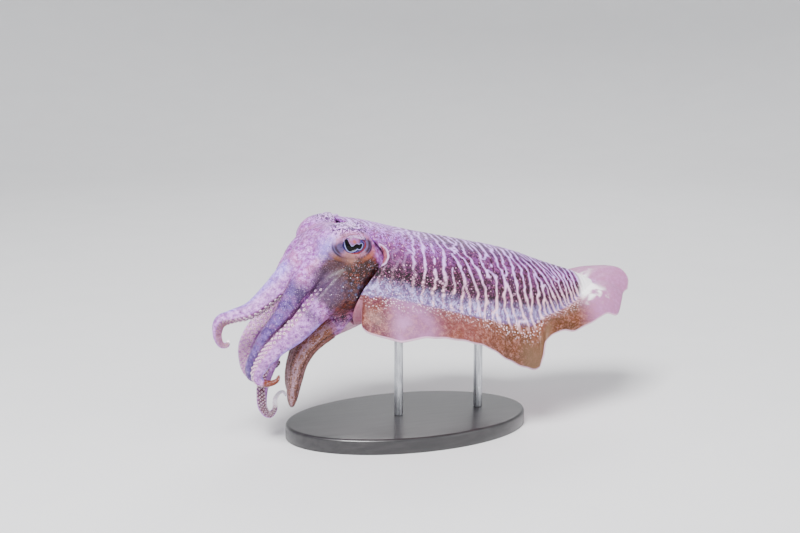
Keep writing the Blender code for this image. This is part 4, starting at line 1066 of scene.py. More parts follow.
def raiseNubs(points, side):
    for mine, (x, y), height, radius in head["nubs"]:
        if mine == side:
            away = points[:, :2] - (x, side * y)
            near = np.exp(-(np.sum(away**2, axis=1) / radius**2)) * (points[:, 2] > head["nubsAbove"])
            points[:, 2] += height * near


def hollowEye(points, side):
    # the opening sinks under the eyeball, and the skin round it lies on the ball
    centre = eyeFrame(side)[0]
    found, away = eyeSpan(points, side)
    mine = (points[:, 1] * side > 0) & (found < 2.2)
    distance = np.linalg.norm(away, axis=1)
    sunk = eye["radius"] * eye["sunk"]
    rise = eye["radius"] + eye["rise"] - 0.5 * ease(found, 1.0, 1.5)
    wanted = np.where(found < 1, sunk, np.maximum(distance, rise))
    wanted = np.where(found > 1.7, distance, wanted)
    scale = np.where(mine, wanted / np.maximum(distance, 1e-6), 1)
    return (points - centre) * scale[:, None] + centre


def headFields(points, owner, along, armShare, around, creviceShade, span):
    # the lowest arms and the head's underside have their own markings, some tips are white, one tip is
    # brown as painted shade, some soles are pale, and the second pair of arms is darker
    named = np.array(armNames)[owner]
    lowest = np.isin(named, arms["keeled"]) * ease(armShare, 0, 0.5)
    lowest = lowest + 0.5 * ease(points[:, 2], 88, 78) * (1 - armShare)
    tip = sum(kind * (named == name) * ease(along, start, start + 0.05)
              for name, start, kind in arms["tips"])
    return {"arm": armShare, "along": along, "around": around, "span": np.minimum(span, 9),
            "lowest": np.clip(lowest, 0, 1), "tip": tip, "creviceShade": creviceShade * ease(armShare, 0.1, 0.5),
            "pale": np.isin(named, ("right1", "left2", "left3")) + 0.6 * (named == "left1"),
            "second": np.isin(named, ("left2", "right2")) * ease(along, 0.12, 0.3)}


def makeHeadSkin():
    core = makeHeadCore()
    skin = joinArms(core)
    edges = edgeEnds(skin)
    points = readVectors(skin.vertices, "co")
    owner, index, creviceShade = nearestArm(points)
    points, along, armShare, around = fitArms(points, core, owner, index)
    # the webs between head and arms are smoothed most, the free arms not at all
    web = 4 * armShare * (1 - armShare)
    weight = 0.5 * np.clip(0.35 + web, 0, 1) * (1 - ease(armShare, 0.8, 1))
    points = smoothed(points, edges, weight, head["webSmoothing"])
    points = tuckIntoCollar(points)
    points = smoothed(points, edges, 0.5 * (1 - ease(armShare, 0.3, 0.8)), 3)

    skin.vertices.foreach_set("co", points.astype(np.float32).ravel())
    skin.update()
    points, span = foldHead(points, readVectors(skin.vertices, "normal"), along, armShare, around)
    for side in (-1, 1):
        raiseNubs(points, side)
        points = hollowEye(points, side)
    movePoints(skin, points)
    for key, values in headFields(points, owner, along, armShare, around, creviceShade, span).items():
        addField(skin, key, values)
    gaps = closeUp(skin, 0.001)
    print("head and arms skin:", len(skin.polygons), "faces,", gaps, "edges not shared by two faces")
    replaced = [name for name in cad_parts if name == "head" or name.startswith("arm_")]
    return addPiece("headAndArmsSkin", skin, headFinish(), replaced=replaced)


def headFinish():
    f = Finish("cuttlefishHeadSkin", **flesh | {"Specular_IOR_Level": 0.28, "Coat_Weight": 0.05})
    arm, along, around, span = f.field("arm"), f.field("along"), f.field("around"), f.field("span")
    lowest, tip, second = f.field("lowest"), f.field("tip"), f.field("second")
    patches, mottle, fine = f.noise(9, 3), f.noise(2.4, 5, soft=0.7), f.noise(0.8, 3, soft=0.7)
    flecks, cells = f.spots(1.2).outputs["Distance"], f.spots(2.3).outputs["Distance"]
    squiggles = f.veins(3.4, 0.12, 1.5)
    olive = f.two(mottle, (116, 84, 66), (68, 46, 38), 0.38, 0.62)
    cheek = f.nearness((-53, 33, 111), 29, 8)
    rings = f.between(f.maths("ABSOLUTE", f.minus(cells, 0.3)), 0.12, 0.05, 0, 0.4)
    rusty = f.blend(rings, f.two(fine, (82, 42, 28), (38, 18, 14), 0.42, 0.6), tint(170, 106, 86))
    grey = f.between(f.spots(3.0).outputs["Distance"], 0.42, 0.26)
    low = f.nearness((-54, 28, 90), 17, 6)
    brow = f.nearness((-49, 22, 143), 17, 7)
    base = f.layers(f.two(mottle, (224, 172, 242), (168, 100, 176)), [
        # pink and lilac in front, olive brown on the cheek
        (f.between(patches, 0.46, 0.62, 0, 0.45), (204, 142, 172)),
        (f.times(f.nearness((-61, 28, 132), 13, 6), 0.75), (172, 160, 230)),
        (f.between(cheek, 0.0, 0.6, 0, 0.97), olive),
        (f.times(f.nearness((-60, 33, 116), 12, 3), 0.8), (96, 68, 56)),
        # the rusty patch with pale rings behind and below the eye
        (f.between(f.nearness((-42, 35, 119), 17, 9), 0.05, 0.6), rusty),
        # blue-grey spots, then orange skin with dark wandering lines, low on the cheek
        (f.times(f.nearness((-51, 31, 103), 15, 6), grey, 0.7), (106, 118, 152)),
        (f.times(low, 0.85), f.two(mottle, (172, 106, 58), (126, 78, 58))),
        (f.times(low, f.veins(4.2, 0.1, 1.6), 0.9), (58, 48, 66)),
        # the brow, white with purple squiggles
        (f.times(brow, f.between(mottle, 0.36, 0.54)), (234, 200, 255)),
        (f.times(f.between(brow, 0.1, 0.5), squiggles), (92, 44, 112)),
        (f.times(f.nearness((-66, 0, 132), 40, 9), squiggles, 0.5), (124, 70, 136)),
        # grey lilac where the third arm begins, partly its skin and partly painted shade beside the second
        # arm, and rosy behind the eye and under the collar
        (f.times(f.nearness((-67, 30, 107), 19, 5), 0.7), (116, 94, 128)),
        (f.times(f.nearness((-29, 36, 133), 13), 0.9), (214, 130, 136)),
        (f.times(f.nearness((-38, 4, 140), 14), 0.9), (220, 150, 168)),
    ])
    # the arms: lilac blue along the back, rosy on the sides, purple brown between the suckers
    back = f.two(mottle, (210, 184, 248), (162, 128, 214), 0.38, 0.62)
    side = f.two(mottle, (220, 176, 232), (172, 118, 186), 0.38, 0.62)
    sole = f.layers(f.two(fine, (132, 78, 96), (92, 52, 80)), [
        (f.field("pale"), f.two(mottle, (216, 170, 214), (172, 120, 172))),
    ])
    # the lowest arms: orange brown with long dark lines and pale edges
    wave = f.maths("SINE", f.plus(f.times(around, 17.0), f.times(f.noise(7, 2), 5.0)))
    tan = f.layers(f.two(mottle, (168, 132, 124), (122, 90, 80), 0.38, 0.62), [
        (f.between(along, 0.75, 0.3, 0, 0.45), (164, 108, 66)),
        (f.between(wave, 0.7, 0.98, 0, 0.85), (84, 50, 34)),
        (f.between(wave, -0.88, -0.99, 0, 0.4), (190, 166, 184)),
    ])
    limb = f.layers(f.blend(f.between(around, -0.85, -0.15), back, side), [
        (f.between(cheek, 0.15, 0.7, 0, 0.9), olive),
        (f.times(second, 0.85), f.two(mottle, (116, 88, 156), (82, 54, 106), 0.38, 0.62)),
        # rosy brown on the sides of the second arms: painted shade along their shadowed sides
        (f.times(second, f.between(around, -0.1, 0.3), 0.8), (142, 86, 98)),
        (f.between(around, 0.45, 0.8), sole),
        # painted shade where another arm lies close
        (f.times(f.field("creviceShade"), f.between(mottle, 0.3, 0.6, 0.95, 0.7)), (104, 58, 84)),
        # grey lilac at the third arm's root: partly its skin, partly painted shade beside the second arm
        (f.times(f.between(f.nearness((-69, 31, 104), 24, 5), 0, 0.6), 0.82), (100, 78, 112)),
        (f.between(f.noise(6, 2, stretch=(1, 0.7, 1.2)), 0.5, 0.62, 0, 0.45), (158, 112, 168)),
        (lowest, tan),
    ])
    # bright specks as painted highlights, fewer on the cheek
    paintedHighlights = f.times(f.between(fine, 0.56, 0.68, 0, 0.55), f.between(cheek, 0.0, 0.8, 1, 0.45))
    ring = f.times(f.between(span, 1.55, 1.1), f.between(mottle, 0.36, 0.6, 0.3, 0.85))
    pouch = f.times(f.nearness((-50, 33, 127), 7, 3), f.between(mottle, 0.36, 0.56, 0.3, 0.7))
    corner = f.maths("MAXIMUM", f.nearness((-58, 29, 132), 8), f.nearness((-36, 33, 133), 8))
    dusk = f.two(f.maths("SINE", f.times(span, 26.0)), (40, 34, 64), (108, 98, 138), -0.1, 0.9)
    outer = f.times(f.between(span, 1.4, 1.52), f.between(span, 1.95, 1.7),
                    f.between(mottle, 0.3, 0.5, 0.5, 1))
    f.paint(f.layers(base, [
        (f.maths("MAXIMUM", arm, f.times(lowest, 0.6)), limb),
        (f.between(tip, 0.1, 0.6), (255, 250, 255)),
        # the brown tip: painted shade where the third left arm curls into shadow
        (f.between(tip, -0.2, -0.9), (140, 84, 58)),
        # small dark spots and purple flecks over everything, and bright specks that are painted highlights
        (f.between(f.spots(3.4).outputs["Distance"], 0.17, 0.1, 0, 0.75), (66, 40, 62)),
        (f.between(flecks, 0.24, 0.1, 0, 0.5), (96, 50, 84)),
        (paintedHighlights, (240, 216, 240)),
        # rings round the eye, dark and striped at its two corners, orange outside these
        (ring, (186, 138, 160)),
        (pouch, (174, 134, 124)),
        (f.times(f.between(span, 1.52, 1.36), f.between(corner, 0.1, 0.7), 0.9), dusk),
        (f.times(outer, f.nearness((-36, 33, 130), 12), 0.75), (168, 112, 92)),
        (f.times(outer, f.nearness((-60, 30, 127), 8), 0.6), (160, 116, 86)),
    ]))
    f.rough(f.between(mottle, 0.3, 0.7, 0.28, 0.44))
    f.relief(f.plus(f.times(mottle, 0.7), f.times(fine, 0.4)), 0.6, 0.85)
    return f.material


headSkin = makeHeadSkin()


# The suckers and the small papillae, by Geometry Nodes

suckers = {
    # a rim is a share of the arm's radius within two limits, and the spacing is in rims
    "size": 0.17, "least": 0.4, "most": 1.05, "spacing": 3.6, "rows": (-0.62, -0.2, 0.2, 0.62),
    "start": 0.2, "sunk": 0.5, "sides": 12, "rings": 8, "fold": 0.3, "variation": 0.12, "seed": 7,
    # a cup that would reach deeper than this into another arm is left out
    "room": -0.2,
}
papillae = {
    "apart": 1.7, "size": 0.42, "variation": 0.4, "flat": 0.5, "seed": 11, "onFins": 0.22,
    # middle, reach and share of the densest growth, on both sides of the head
    "headPlaces": [((-50, 32, 108), 17, 0.07), ((-46, 18, 147), 14, 0.5), ((-60, 14, 138), 12, 0.12)],
}


class Growth(Graph):
    # a Geometry Nodes tree with one geometry input and named number inputs
    def __init__(self, name, numbers):
        self.tree = bpy.data.node_groups.new(name, "GeometryNodeTree")
        sockets = self.tree.interface
        sockets.new_socket("Geometry", in_out="INPUT", socket_type="NodeSocketGeometry")
        sockets.new_socket("Geometry", in_out="OUTPUT", socket_type="NodeSocketGeometry")
        self.numbers = dict(numbers)
        self.keys = {}
        for key, value in numbers.items():
            kind = "NodeSocketInt" if isinstance(value, int) else "NodeSocketFloat"
            self.keys[key] = sockets.new_socket(key, in_out="INPUT", socket_type=kind).identifier
        self.given = self.tree.nodes.new("NodeGroupInput").outputs
        self.out = self.tree.nodes.new("NodeGroupOutput")

    def field(self, name, kind="FLOAT"):
        made = self.step("GeometryNodeInputNamedAttribute", {"Name": name}, data_type=kind)
        return made.outputs["Attribute"]

    def vary(self, low, high):
        made = self.step("FunctionNodeRandomValue", {}, data_type="FLOAT")
        self.feed(made.inputs[2], low)
        self.feed(made.inputs[3], high)
        self.feed(made.inputs["Seed"], self.given["Seed"])
        return made.outputs[1]

    def scatter(self, points, shape, turned, size, finish):
        # the shape on every point, smaller by a random share, as real mesh with its finish
        size = self.times(size, self.vary(self.minus(1.0, self.given["Variation"]), 1.0))
        values = {"Points": points, "Instance": shape, "Rotation": turned, "Scale": size}
        placed = self.step("GeometryNodeInstanceOnPoints", values).outputs[0]
        real = self.step("GeometryNodeRealizeInstances", {"Geometry": placed}).outputs[0]
        smooth = self.step("GeometryNodeSetShadeSmooth", {"Geometry": real}).outputs[0]
        done = self.step("GeometryNodeSetMaterial", {"Geometry": smooth, "Material": finish}).outputs[0]
        self.feed(self.out.inputs[0], done)

    def grow(self, mesh):
        holder = looseObject("growth", mesh)
        modifier = holder.modifiers.new("growth", "NODES")
        modifier.node_group = self.tree
        for key, identifier in self.keys.items():
            modifier[identifier] = self.numbers[key]
        return asMesh(holder)


def suckerFinish():
    f = Finish("cuttlefishSuckers", Roughness=0.34, **flesh)
    # brownish near the first left arm's curl, lilac where the third arm begins, partly painted shade beside
    # the second arm, white at its right tip
    f.paint(f.layers(f.two(f.noise(1.1, 2), (255, 244, 250), (240, 212, 230), 0.35, 0.65), [
        (f.times(f.nearness((-127, 13, 80), 15), 0.85), (176, 122, 118)),
        (f.times(f.nearness((-71, 30, 102), 16), 0.7), (180, 152, 196)),
        (f.between(f.field("inside"), 0.2, 0.62), (150, 84, 104)),
        (f.between(f.nearness((-87, 2, 31), 10), 0.1, 0.5), (248, 242, 252)),
    ]))
    f.relief(f.noise(0.5, 2), 0.1, 0.5)
    return f.material


def suckerGrowth(finish):
    numbers = {"Sides": suckers["sides"], "Rings": suckers["rings"], "Fold": suckers["fold"],
               "Variation": suckers["variation"], "Seed": suckers["seed"]}
    g = Growth("suckerGrowth", numbers)
    # a ball whose top is folded in above the fold's height, and whose foot is narrower
    shape = {"Segments": g.given["Sides"], "Rings": g.given["Rings"], "Radius": 1.0}
    ball = g.step("GeometryNodeMeshUVSphere", shape).outputs["Mesh"]
    place = g.step("GeometryNodeInputPosition", {}).outputs[0]
    x, y, z = g.step("ShaderNodeSeparateXYZ", {"Vector": place}).outputs
    over = g.maths("MAXIMUM", g.minus(z, g.given["Fold"]), 0.0)
    under = g.maths("MINIMUM", z, 0.0)
    share = g.plus(g.minus(1.0, g.times(over, 0.25)), g.times(under, 0.45))
    folded = {"X": g.times(x, share), "Y": g.times(y, share), "Z": g.minus(z, g.times(over, 2.0))}
    folded = g.step("ShaderNodeCombineXYZ", folded).outputs[0]
    marked = g.step("GeometryNodeStoreNamedAttribute", {"Geometry": ball, "Name": "inside", "Value": over},
                    data_type="FLOAT", domain="POINT")
    cup = g.step("GeometryNodeSetPosition", {"Geometry": marked.outputs[0], "Position": folded}).outputs[0]
    facing = g.field("facing", "FLOAT_VECTOR")
    turned = g.step("FunctionNodeAlignRotationToVector", {"Vector": facing}, axis="Z")
    g.scatter(g.given["Geometry"], cup, turned.outputs[0], g.field("size"), finish)
    return g


def suckerPoints(arm, others):
    # where the suckers of one arm stand, which way they look and how large they are
    places, facings, sizes = [], [], []
    length, turn = arm.length * suckers["start"], 0
    while length < arm.length - 1.0:
        k = min(int(length / arms["step"]), len(arm.along) - 1)
        rim = np.clip(suckers["size"] * arm.radius[k], suckers["least"], suckers["most"])
        for row in suckers["rows"][turn::2]:
            angle = math.asin(row) * (1 if arm.radius[k] > 2 else 0.8)
            place = arm.skin(np.array([k]), np.array([angle]))[0]
            out = unit(arm.face[k] + arm.across[k] * (row * 0.45))
            places.append(place + out * rim * suckers["sunk"])
            facings.append(out)
            sizes.append(rim)
        length += suckers["spacing"] * rim / 2
        turn = 1 - turn
    places, facings, sizes = np.array(places), np.array(facings), np.array(sizes)
    tops = places + facings * sizes[:, None]
    free = np.ones(len(tops), bool)
    for other in others:
        apart = np.linalg.norm(tops[:, None] - other.middle[None], axis=2) - other.radius[None]
        free &= apart.min(axis=1) > suckers["room"]
    return places[free], facings[free], sizes[free]


def makeSuckers():
    finish = suckerFinish()
    growth = suckerGrowth(finish)
    for word, side in (("Left", -1), ("Right", 1)):
        found = [suckerPoints(arm, [other for other in armLines if other is not arm])
                 for arm in armLines if arm.side == side]
        places, facings, sizes = (np.concatenate([part[k] for part in found]) for k in range(3))
        mesh = makeMesh("suckerPoints", places, [])
        addField(mesh, "size", sizes * mm)
        facing = mesh.attributes.new("facing", "FLOAT_VECTOR", "POINT")
        facing.data.foreach_set("vector", facings.astype(np.float32).ravel())
        cups = growth.grow(mesh)
        movePoints(cups, meshPoints(cups))
        print("suckers", word.lower() + ":", len(places), "cups,", len(cups.polygons), "faces")
        addPiece("suckers" + word, cups, finish)


def papillaGrowth(finish):
    numbers = {"Apart": papillae["apart"] * mm, "Size": papillae["size"] * mm, "Flat": papillae["flat"],
               "Variation": papillae["variation"], "Seed": papillae["seed"]}
    g = Growth("papillaGrowth", numbers)
    spread = g.step("GeometryNodeDistributePointsOnFaces", {
        "Mesh": g.given["Geometry"], "Distance Min": g.given["Apart"], "Density Max": 900000.0,
        "Density Factor": g.field("papillae"), "Seed": g.given["Seed"]}, distribute_method="POISSON")
    ball = g.step("GeometryNodeMeshUVSphere", {"Segments": 8, "Rings": 5, "Radius": 1.0})
    flat = g.step("ShaderNodeCombineXYZ", {"X": 1.0, "Y": 1.0, "Z": g.given["Flat"]}).outputs[0]
    low = g.step("GeometryNodeTransform", {"Geometry": ball.outputs["Mesh"], "Scale": flat}).outputs[0]
    g.scatter(spread.outputs["Points"], low, spread.outputs["Rotation"], g.given["Size"], finish)
    return g


def makePapillae(name, skin, density):
    # low pale bumps on a copy of a finished skin, as dense as the field says
    finish = Finish(name + "Skin", **flesh)
    finish.paint(finish.two(finish.noise(3, 2), (244, 232, 248), (226, 200, 226)))
    finish.rough(finish.between(finish.noise(1.2, 2), 0.3, 0.7, 0.32, 0.46))
    mesh = skin.data.copy()
    addField(mesh, "papillae", density(meshPoints(mesh), mesh))
    bumps = papillaGrowth(finish.material).grow(mesh)
    movePoints(bumps, meshPoints(bumps))
    print(name + ":", len(bumps.polygons), "faces")
    return addPiece(name, bumps, finish.material)


def readField(mesh, key):
    values = np.empty(len(mesh.vertices), np.float32)
    mesh.attributes[key].data.foreach_get("value", values)
    return values


def nearPlaces(points, places):
    folded = points * (1, 0, 1) + np.abs(points) * (0, 1, 0)
    total = np.zeros(len(points))
    for centre, reach, amount in places:
        away = np.linalg.norm(folded - centre, axis=1)
        total = np.maximum(total, amount * ease(away, reach, 0.2 * reach))
    return total


def headDensity(points, mesh):
    found = nearPlaces(points, papillae["headPlaces"])
    return found * ease(readField(mesh, "span"), 1.25, 1.6) * ease(readField(mesh, "arm"), 0.5, 0.1)


def bodyDensity(points, mesh):
    place, girth, fin = (readField(mesh, key) for key in ("place", "girth", "fin"))
    root = ease(girth, 0.9, 0.97) * ease(girth, 1.1, 1.0) * ease(fin, 0.3, 0.02) * ease(place, 0.08, 0.12)
    onTop = readField(mesh, "under") < 0.5
    return papillae["onFins"] * root * onTop * ease(place, 1.0, 0.9)


makeSuckers()
makePapillae("headPapillae", headSkin, headDensity)
makePapillae("bodyPapillae", bodySkin, bodyDensity)


# The eyes and their lids

def pupilDistance(across, high):
    # distance in mm from the edge of the W-shaped slit, negative inside it
    shares = np.linspace(0, 1, 60)
    line = smoothCurve(eye["pupil"], shares)
    reach = eye["radius"] * eye["pupilSize"]
    away = np.hypot(across[:, None] - line[:, 0] * reach, high[:, None] - line[:, 1] * reach)
    return (away - line[:, 2]).min(axis=1)


def irisFinish():
    f = Finish("cuttlefishEye", Coat_Weight=0.3, Coat_Roughness=0.03, Coat_IOR=1.33,
               Specular_IOR_Level=0.08)
    slit, span, across, high = f.field("slit"), f.field("span"), f.field("across"), f.field("high")
    silk, cloud = f.noise(0.6, 3, soft=0.6), f.noise(3.2, 2)
    rings = f.maths("SINE", f.plus(f.times(slit, 5.5), f.times(cloud, 2.0)))
    lobe = f.times(f.between(high, -0.12, 0.12), f.between(across, 0.34, 0.2),
                   f.between(across, -0.5, -0.32))
    edge = f.between(f.maths("ABSOLUTE", f.minus(slit, 0.4)), 0.32, 0.1)
    outer = f.times(f.between(span, 0.72, 0.9), f.between(cloud, 0.3, 0.5, 0.5, 1))
    f.paint(f.layers(f.two(silk, (126, 114, 172), (70, 62, 126), 0.35, 0.65), [
        # dark and pale rings that follow the pupil, the front corner darkest
        (f.between(rings, -0.2, 0.7, 0, 0.85), (26, 24, 62)),
        (f.between(across, 0.42, 0.66, 0, 0.7), (30, 26, 66)),
        # the lobe that hangs from above between the pupil's limbs
        (lobe, f.two(cloud, (168, 122, 168), (176, 118, 118))),
        # the pale edge of the pupil, brightest below it, the orange outer rim and the pupil
        (f.times(edge, f.between(high, 0.18, -0.1, 0.45, 1), 0.8), (178, 182, 218)),
        (f.times(outer, f.between(high, 0.45, 0.1)), (172, 84, 44)),
        (f.between(slit, 0.1, -0.1), (2, 2, 8)),
    ]))
    f.rough(f.between(silk, 0.3, 0.7, 0.2, 0.36))
    f.relief(silk, 0.12, 0.4)
    return f.material


def makeEyes():
    finish = irisFinish()
    for word, side in (("Left", -1), ("Right", 1)):
        centre, out, along, up = eyeFrame(side)
        lean = np.radians(np.concatenate([np.linspace(0.4, 66, eye["frontRings"]),
                                          np.linspace(69, 177, eye["backRings"])]))
        turn = fullTurn(eye["sides"])
        across = np.sin(lean)[:, None] * np.cos(turn)
        high = np.sin(lean)[:, None] * np.sin(turn)
        deep = np.cos(lean)[:, None] + 0 * turn
        slit = pupilDistance((across * eye["radius"]).ravel(), (high * eye["radius"]).ravel())
        slit = np.where(deep > 0, slit.reshape(across.shape), 5)
        lobe = ease(high, -0.16, 0.2) * ease(across, 0.34, 0.1) * ease(across, -0.5, -0.26)
        lobe = lobe * ease(slit, 0.1, 0.9) * (deep > 0)
        radius = eye["radius"] - eye["pupilDepth"] * ease(slit, 0.15, -0.35) + eye["lobe"] * lobe
        ball = out * deep[..., None] + along * across[..., None] + up * high[..., None]
        ball = radius[..., None] * ball + centre
        points, faces = closedRings(ball, centre + out * eye["radius"], centre - out * eye["radius"])
        wide, tall = (size / eye["radius"] for size in eye["opening"])
        span = np.hypot(across / wide, high / tall)
        poles = [pupilDistance(np.zeros(1), np.zeros(1))[0], 5.0]
        fields = {"slit": np.append(slit, poles), "span": np.append(np.minimum(span, 3), [0, 3]),
                  "across": np.append(across, [0, 0]), "high": np.append(high, [0, 0])}
        mesh = makeMesh("eye" + word, points, faces, fields)
        closeUp(mesh, 0.001)
        replaced = ("eye_" + word.lower(), "pupil_" + word.lower())
        addPiece("eye" + word, mesh, finish, replaced=replaced)


def lidFinish():
    f = Finish("cuttlefishLids", **flesh)
    mottle, fine = f.noise(1.6, 4, soft=0.7), f.noise(0.6, 3, soft=0.7)
    orange = f.two(mottle, (204, 130, 76), (140, 66, 44))
    dusk = f.two(mottle, (48, 40, 92), (104, 90, 150))
    f.paint(f.layers(f.two(mottle, (222, 192, 228), (160, 110, 168), 0.38, 0.6), [
        (f.times(f.between(f.field("above"), 0.1, -0.6), 0.85), orange),
        (f.between(f.maths("ABSOLUTE", f.field("beside")), 0.55, 0.8), dusk),
        (f.times(f.veins(1.3, 0.07), 0.5), (60, 40, 96)),
        (f.between(fine, 0.56, 0.68, 0, 0.5), (246, 230, 246)),
    ]))
    f.rough(f.between(mottle, 0.3, 0.7, 0.28, 0.42))
    f.relief(mottle, 0.35, 0.8)
    return f.material


def makeLids():
    # the rolled edge of the lids, heavier above, on the eyeball
    finish = lidFinish()
    turn, roll = fullTurn(eye["sides"]), fullTurn(eye["lidSides"])
    for word, side in (("Left", -1), ("Right", 1)):
        centre, out, along, up = eyeFrame(side)
        thick = eye["lid"] * (0.55 + 0.5 * ease(np.sin(turn), -0.3, 0.9))
        wide = eye["opening"][0] + thick * 0.8
        tall = eye["opening"][1] + thick * 0.8 - eye["upperLid"] * ease(np.sin(turn), 0.1, 0.9)
        across, high = np.cos(turn) * wide, np.sin(turn) * tall
        deep = np.sqrt(np.maximum(eye["radius"]**2 - across**2 - high**2, (0.3 * eye["radius"])**2))
        line = centre + along * across[:, None] + up * high[:, None] + out * (deep + thick * 0.25)[:, None]
        ahead = unit(np.roll(line, -1, axis=0) - np.roll(line, 1, axis=0))
        outward = unit(line - centre)
        outward = unit(outward - ahead * np.sum(outward * ahead, axis=1)[:, None])
        beside = np.cross(ahead, outward)
        ring = (line[:, None] + outward[:, None] * (np.sin(roll)[None, :, None] * thick[:, None, None])
                + beside[:, None] * (np.cos(roll)[None, :, None] * thick[:, None, None] * 1.15))
        lumps = eye["lidLumps"] * softNoise(ring, 1.3, 3)
        ring = ring + lumps[..., None] * unit(ring - line[:, None])
        points = ring.reshape(-1, 3)
        count = len(roll)
        start = (len(turn) - 1) * count
        faces = ringFaces(len(turn), count)
        faces += [(start + j, start + (j + 1) % count, (j + 1) % count, j) for j in range(count)]
        fields = {"above": np.repeat(np.sin(turn), count), "beside": np.repeat(np.cos(turn), count)}
        mesh = makeMesh("lid" + word, points, faces, fields)
        closeUp(mesh, 0.001)
        addPiece("lid" + word, mesh, finish)


makeEyes()
makeLids()
print("eyes and lids are in place")


# The funnel and the lips

funnel = {
    # step, then X, Y, Z and radius along its middle, from the root to the opening
    "line": [(0, -27, 0, 86, 9), (1, -36, 0, 81, 8), (2, -45, 0, 76, 6.2), (3, -54, 0, 71.5, 4.8)],
    "rows": 90, "sides": 64, "flat": 0.8, "wall": 1.1, "depth": 14, "folds": 0.2,
}
lips = {
    "centre": (-76, 0, 92), "radius": 7.7, "looks": (-0.7, 0, -0.72), "folds": 26, "frill": 0.35,
    "beak": 1.5, "rows": 60, "sides": 130,
}


def makeFunnel():
    at = smoothCurve(funnel["line"], np.linspace(0, 3, funnel["rows"]))
    middle, radius = at[:, :3], at[:, 3]
    ahead = unit(np.gradient(middle, axis=0))
    side = np.array([0.0, 1.0, 0.0])
    above = np.cross(side, ahead)
    angle = fullTurn(funnel["sides"])

    def ring(k, share, back=0.0):
        wide = radius[k] * share
        return (middle[k] - ahead[k] * back + side * (np.sin(angle) * wide)[:, None]
                + above[k] * (np.cos(angle) * wide * funnel["flat"])[:, None])

    rings = [ring(k, 1) for k in range(len(at))]
    last = len(at) - 1
    edge = 1 - funnel["wall"] / radius[last]
    for lip in np.linspace(0, math.pi, 9)[1:]:
        rings.append(ring(last, (1 + edge) / 2 + (1 - edge) / 2 * math.cos(lip), -0.5 * math.sin(lip)))
    for back in np.linspace(0, funnel["depth"], 16)[1:]:
        rings.append(ring(last, edge, back))
    rings = np.array(rings)
    grain = softNoise(rings * (0.5, 1, 1), 3.5, 12) * funnel["folds"]
    outward = unit(rings - rings.mean(axis=1)[:, None])
    rings = rings + outward * grain[..., None]
    mesh = makeMesh("funnelSkin", *closedRings(rings, rings[0].mean(axis=0), rings[-1].mean(axis=0)))
    closeUp(mesh, 0.001)
    f = Finish("cuttlefishFunnelSkin", **flesh)
    mottle, flecks = f.noise(2.4, 4, soft=0.65), f.spots(1.6).outputs["Distance"]
    base = f.two(mottle, (222, 196, 208), (200, 164, 186), 0.35, 0.65)
    f.paint(f.layers(base, [(f.between(flecks, 0.2, 0.08, 0, 0.6), (134, 84, 104))]))
    f.rough(f.between(mottle, 0.3, 0.7, 0.34, 0.48))
    f.relief(mottle, 0.4, 0.6)
    addPiece("funnelSkin", mesh, f.material, replaced=("funnel",))


def makeLips():
    # two frilled rings of lip round the dark tip of the beak
    looks = unit(np.array(lips["looks"], float))
    side = np.array([0.0, 1.0, 0.0])
    up = np.cross(looks, side)
    lean = np.radians(np.linspace(1, 179, lips["rows"]))
    turn = fullTurn(lips["sides"])
    degrees = np.degrees(lean)[:, None]
    # the frill, then the opening and the groove between the two lips, by degrees from the middle
    frill = lips["frill"] * np.cos(turn * lips["folds"]) * ease(degrees, 12, 24) * ease(degrees, 62, 40)
    rolls = -2.6 * ease(degrees, 20, 8) - 0.8 * np.exp(-((degrees - 34) / 4) ** 2)
    radius = lips["radius"] + rolls + frill
    beak = lips["beak"] * ease(degrees, 9, 2)
    wide = radius * np.sin(lean)[:, None]
    ball = ((radius + beak) * np.cos(lean)[:, None])[..., None] * looks
    ball = ball + (wide * np.cos(turn))[..., None] * side + (wide * np.sin(turn))[..., None] * up
    ball = ball + np.array(lips["centre"], float)
    points, faces = closedRings(ball, ball[0].mean(axis=0) + looks * 0.3, ball[-1].mean(axis=0))
    dark = np.append(np.repeat(ease(degrees, 13, 9), len(turn)), [1, 0])
    mesh = makeMesh("lips", points, faces, {"beak": dark})
    closeUp(mesh, 0.001)
    f = Finish("cuttlefishLips", **flesh)
    mottle = f.noise(1.8, 3, soft=0.6)
    base = f.two(mottle, (214, 168, 178), (184, 128, 146), 0.35, 0.65)
    f.paint(f.layers(base, [(f.field("beak"), (30, 18, 18))]))
    f.rough(f.between(mottle, 0.3, 0.7, 0.32, 0.46))
    f.relief(mottle, 0.3, 0.6)
    addPiece("lips", mesh, f.material, replaced=("mouth",))


makeFunnel()
makeLips()
print("funnel and lips are in place")


# The stand

stand = {"length": 168, "width": 104, "height": 10, "edge": 2.0, "sides": 160}


def makeStandBase():
    edge, height = stand["edge"], stand["height"]
    bend = np.linspace(0, math.pi / 2, 7)
    outline = [(0.3, 0.0), (0.0, 0.3), (0.0, height - edge)]
    outline += [(edge - edge * math.cos(b), height - edge + edge * math.sin(b)) for b in bend[1:]]
    turn = fullTurn(stand["sides"])
    rings = []
    for inset, z in outline:
        rings.append(np.stack([np.cos(turn) * (stand["length"] / 2 - inset),
                               np.sin(turn) * (stand["width"] / 2 - inset), np.full(len(turn), z)], axis=1))
    mesh = makeMesh("standBase", *closedRings(np.array(rings), (0, 0, 0), (0, 0, height)))
    closeUp(mesh, 0.001)
    f = Finish("standLacquer", Coat_Weight=0.35, Coat_Roughness=0.12)
    grain, dust = f.noise(3, 4, stretch=(0.12, 1, 1)), f.noise(0.4, 2)
    f.paint(f.two(grain, (30, 29, 31, 1), (42, 40, 42, 1), 0.35, 0.65))
    f.rough(f.between(dust, 0.3, 0.7, 0.3, 0.42))
    f.relief(grain, 0.12, 0.35)
    addPiece("standBase", mesh, f.material, replaced=("stand_base",))


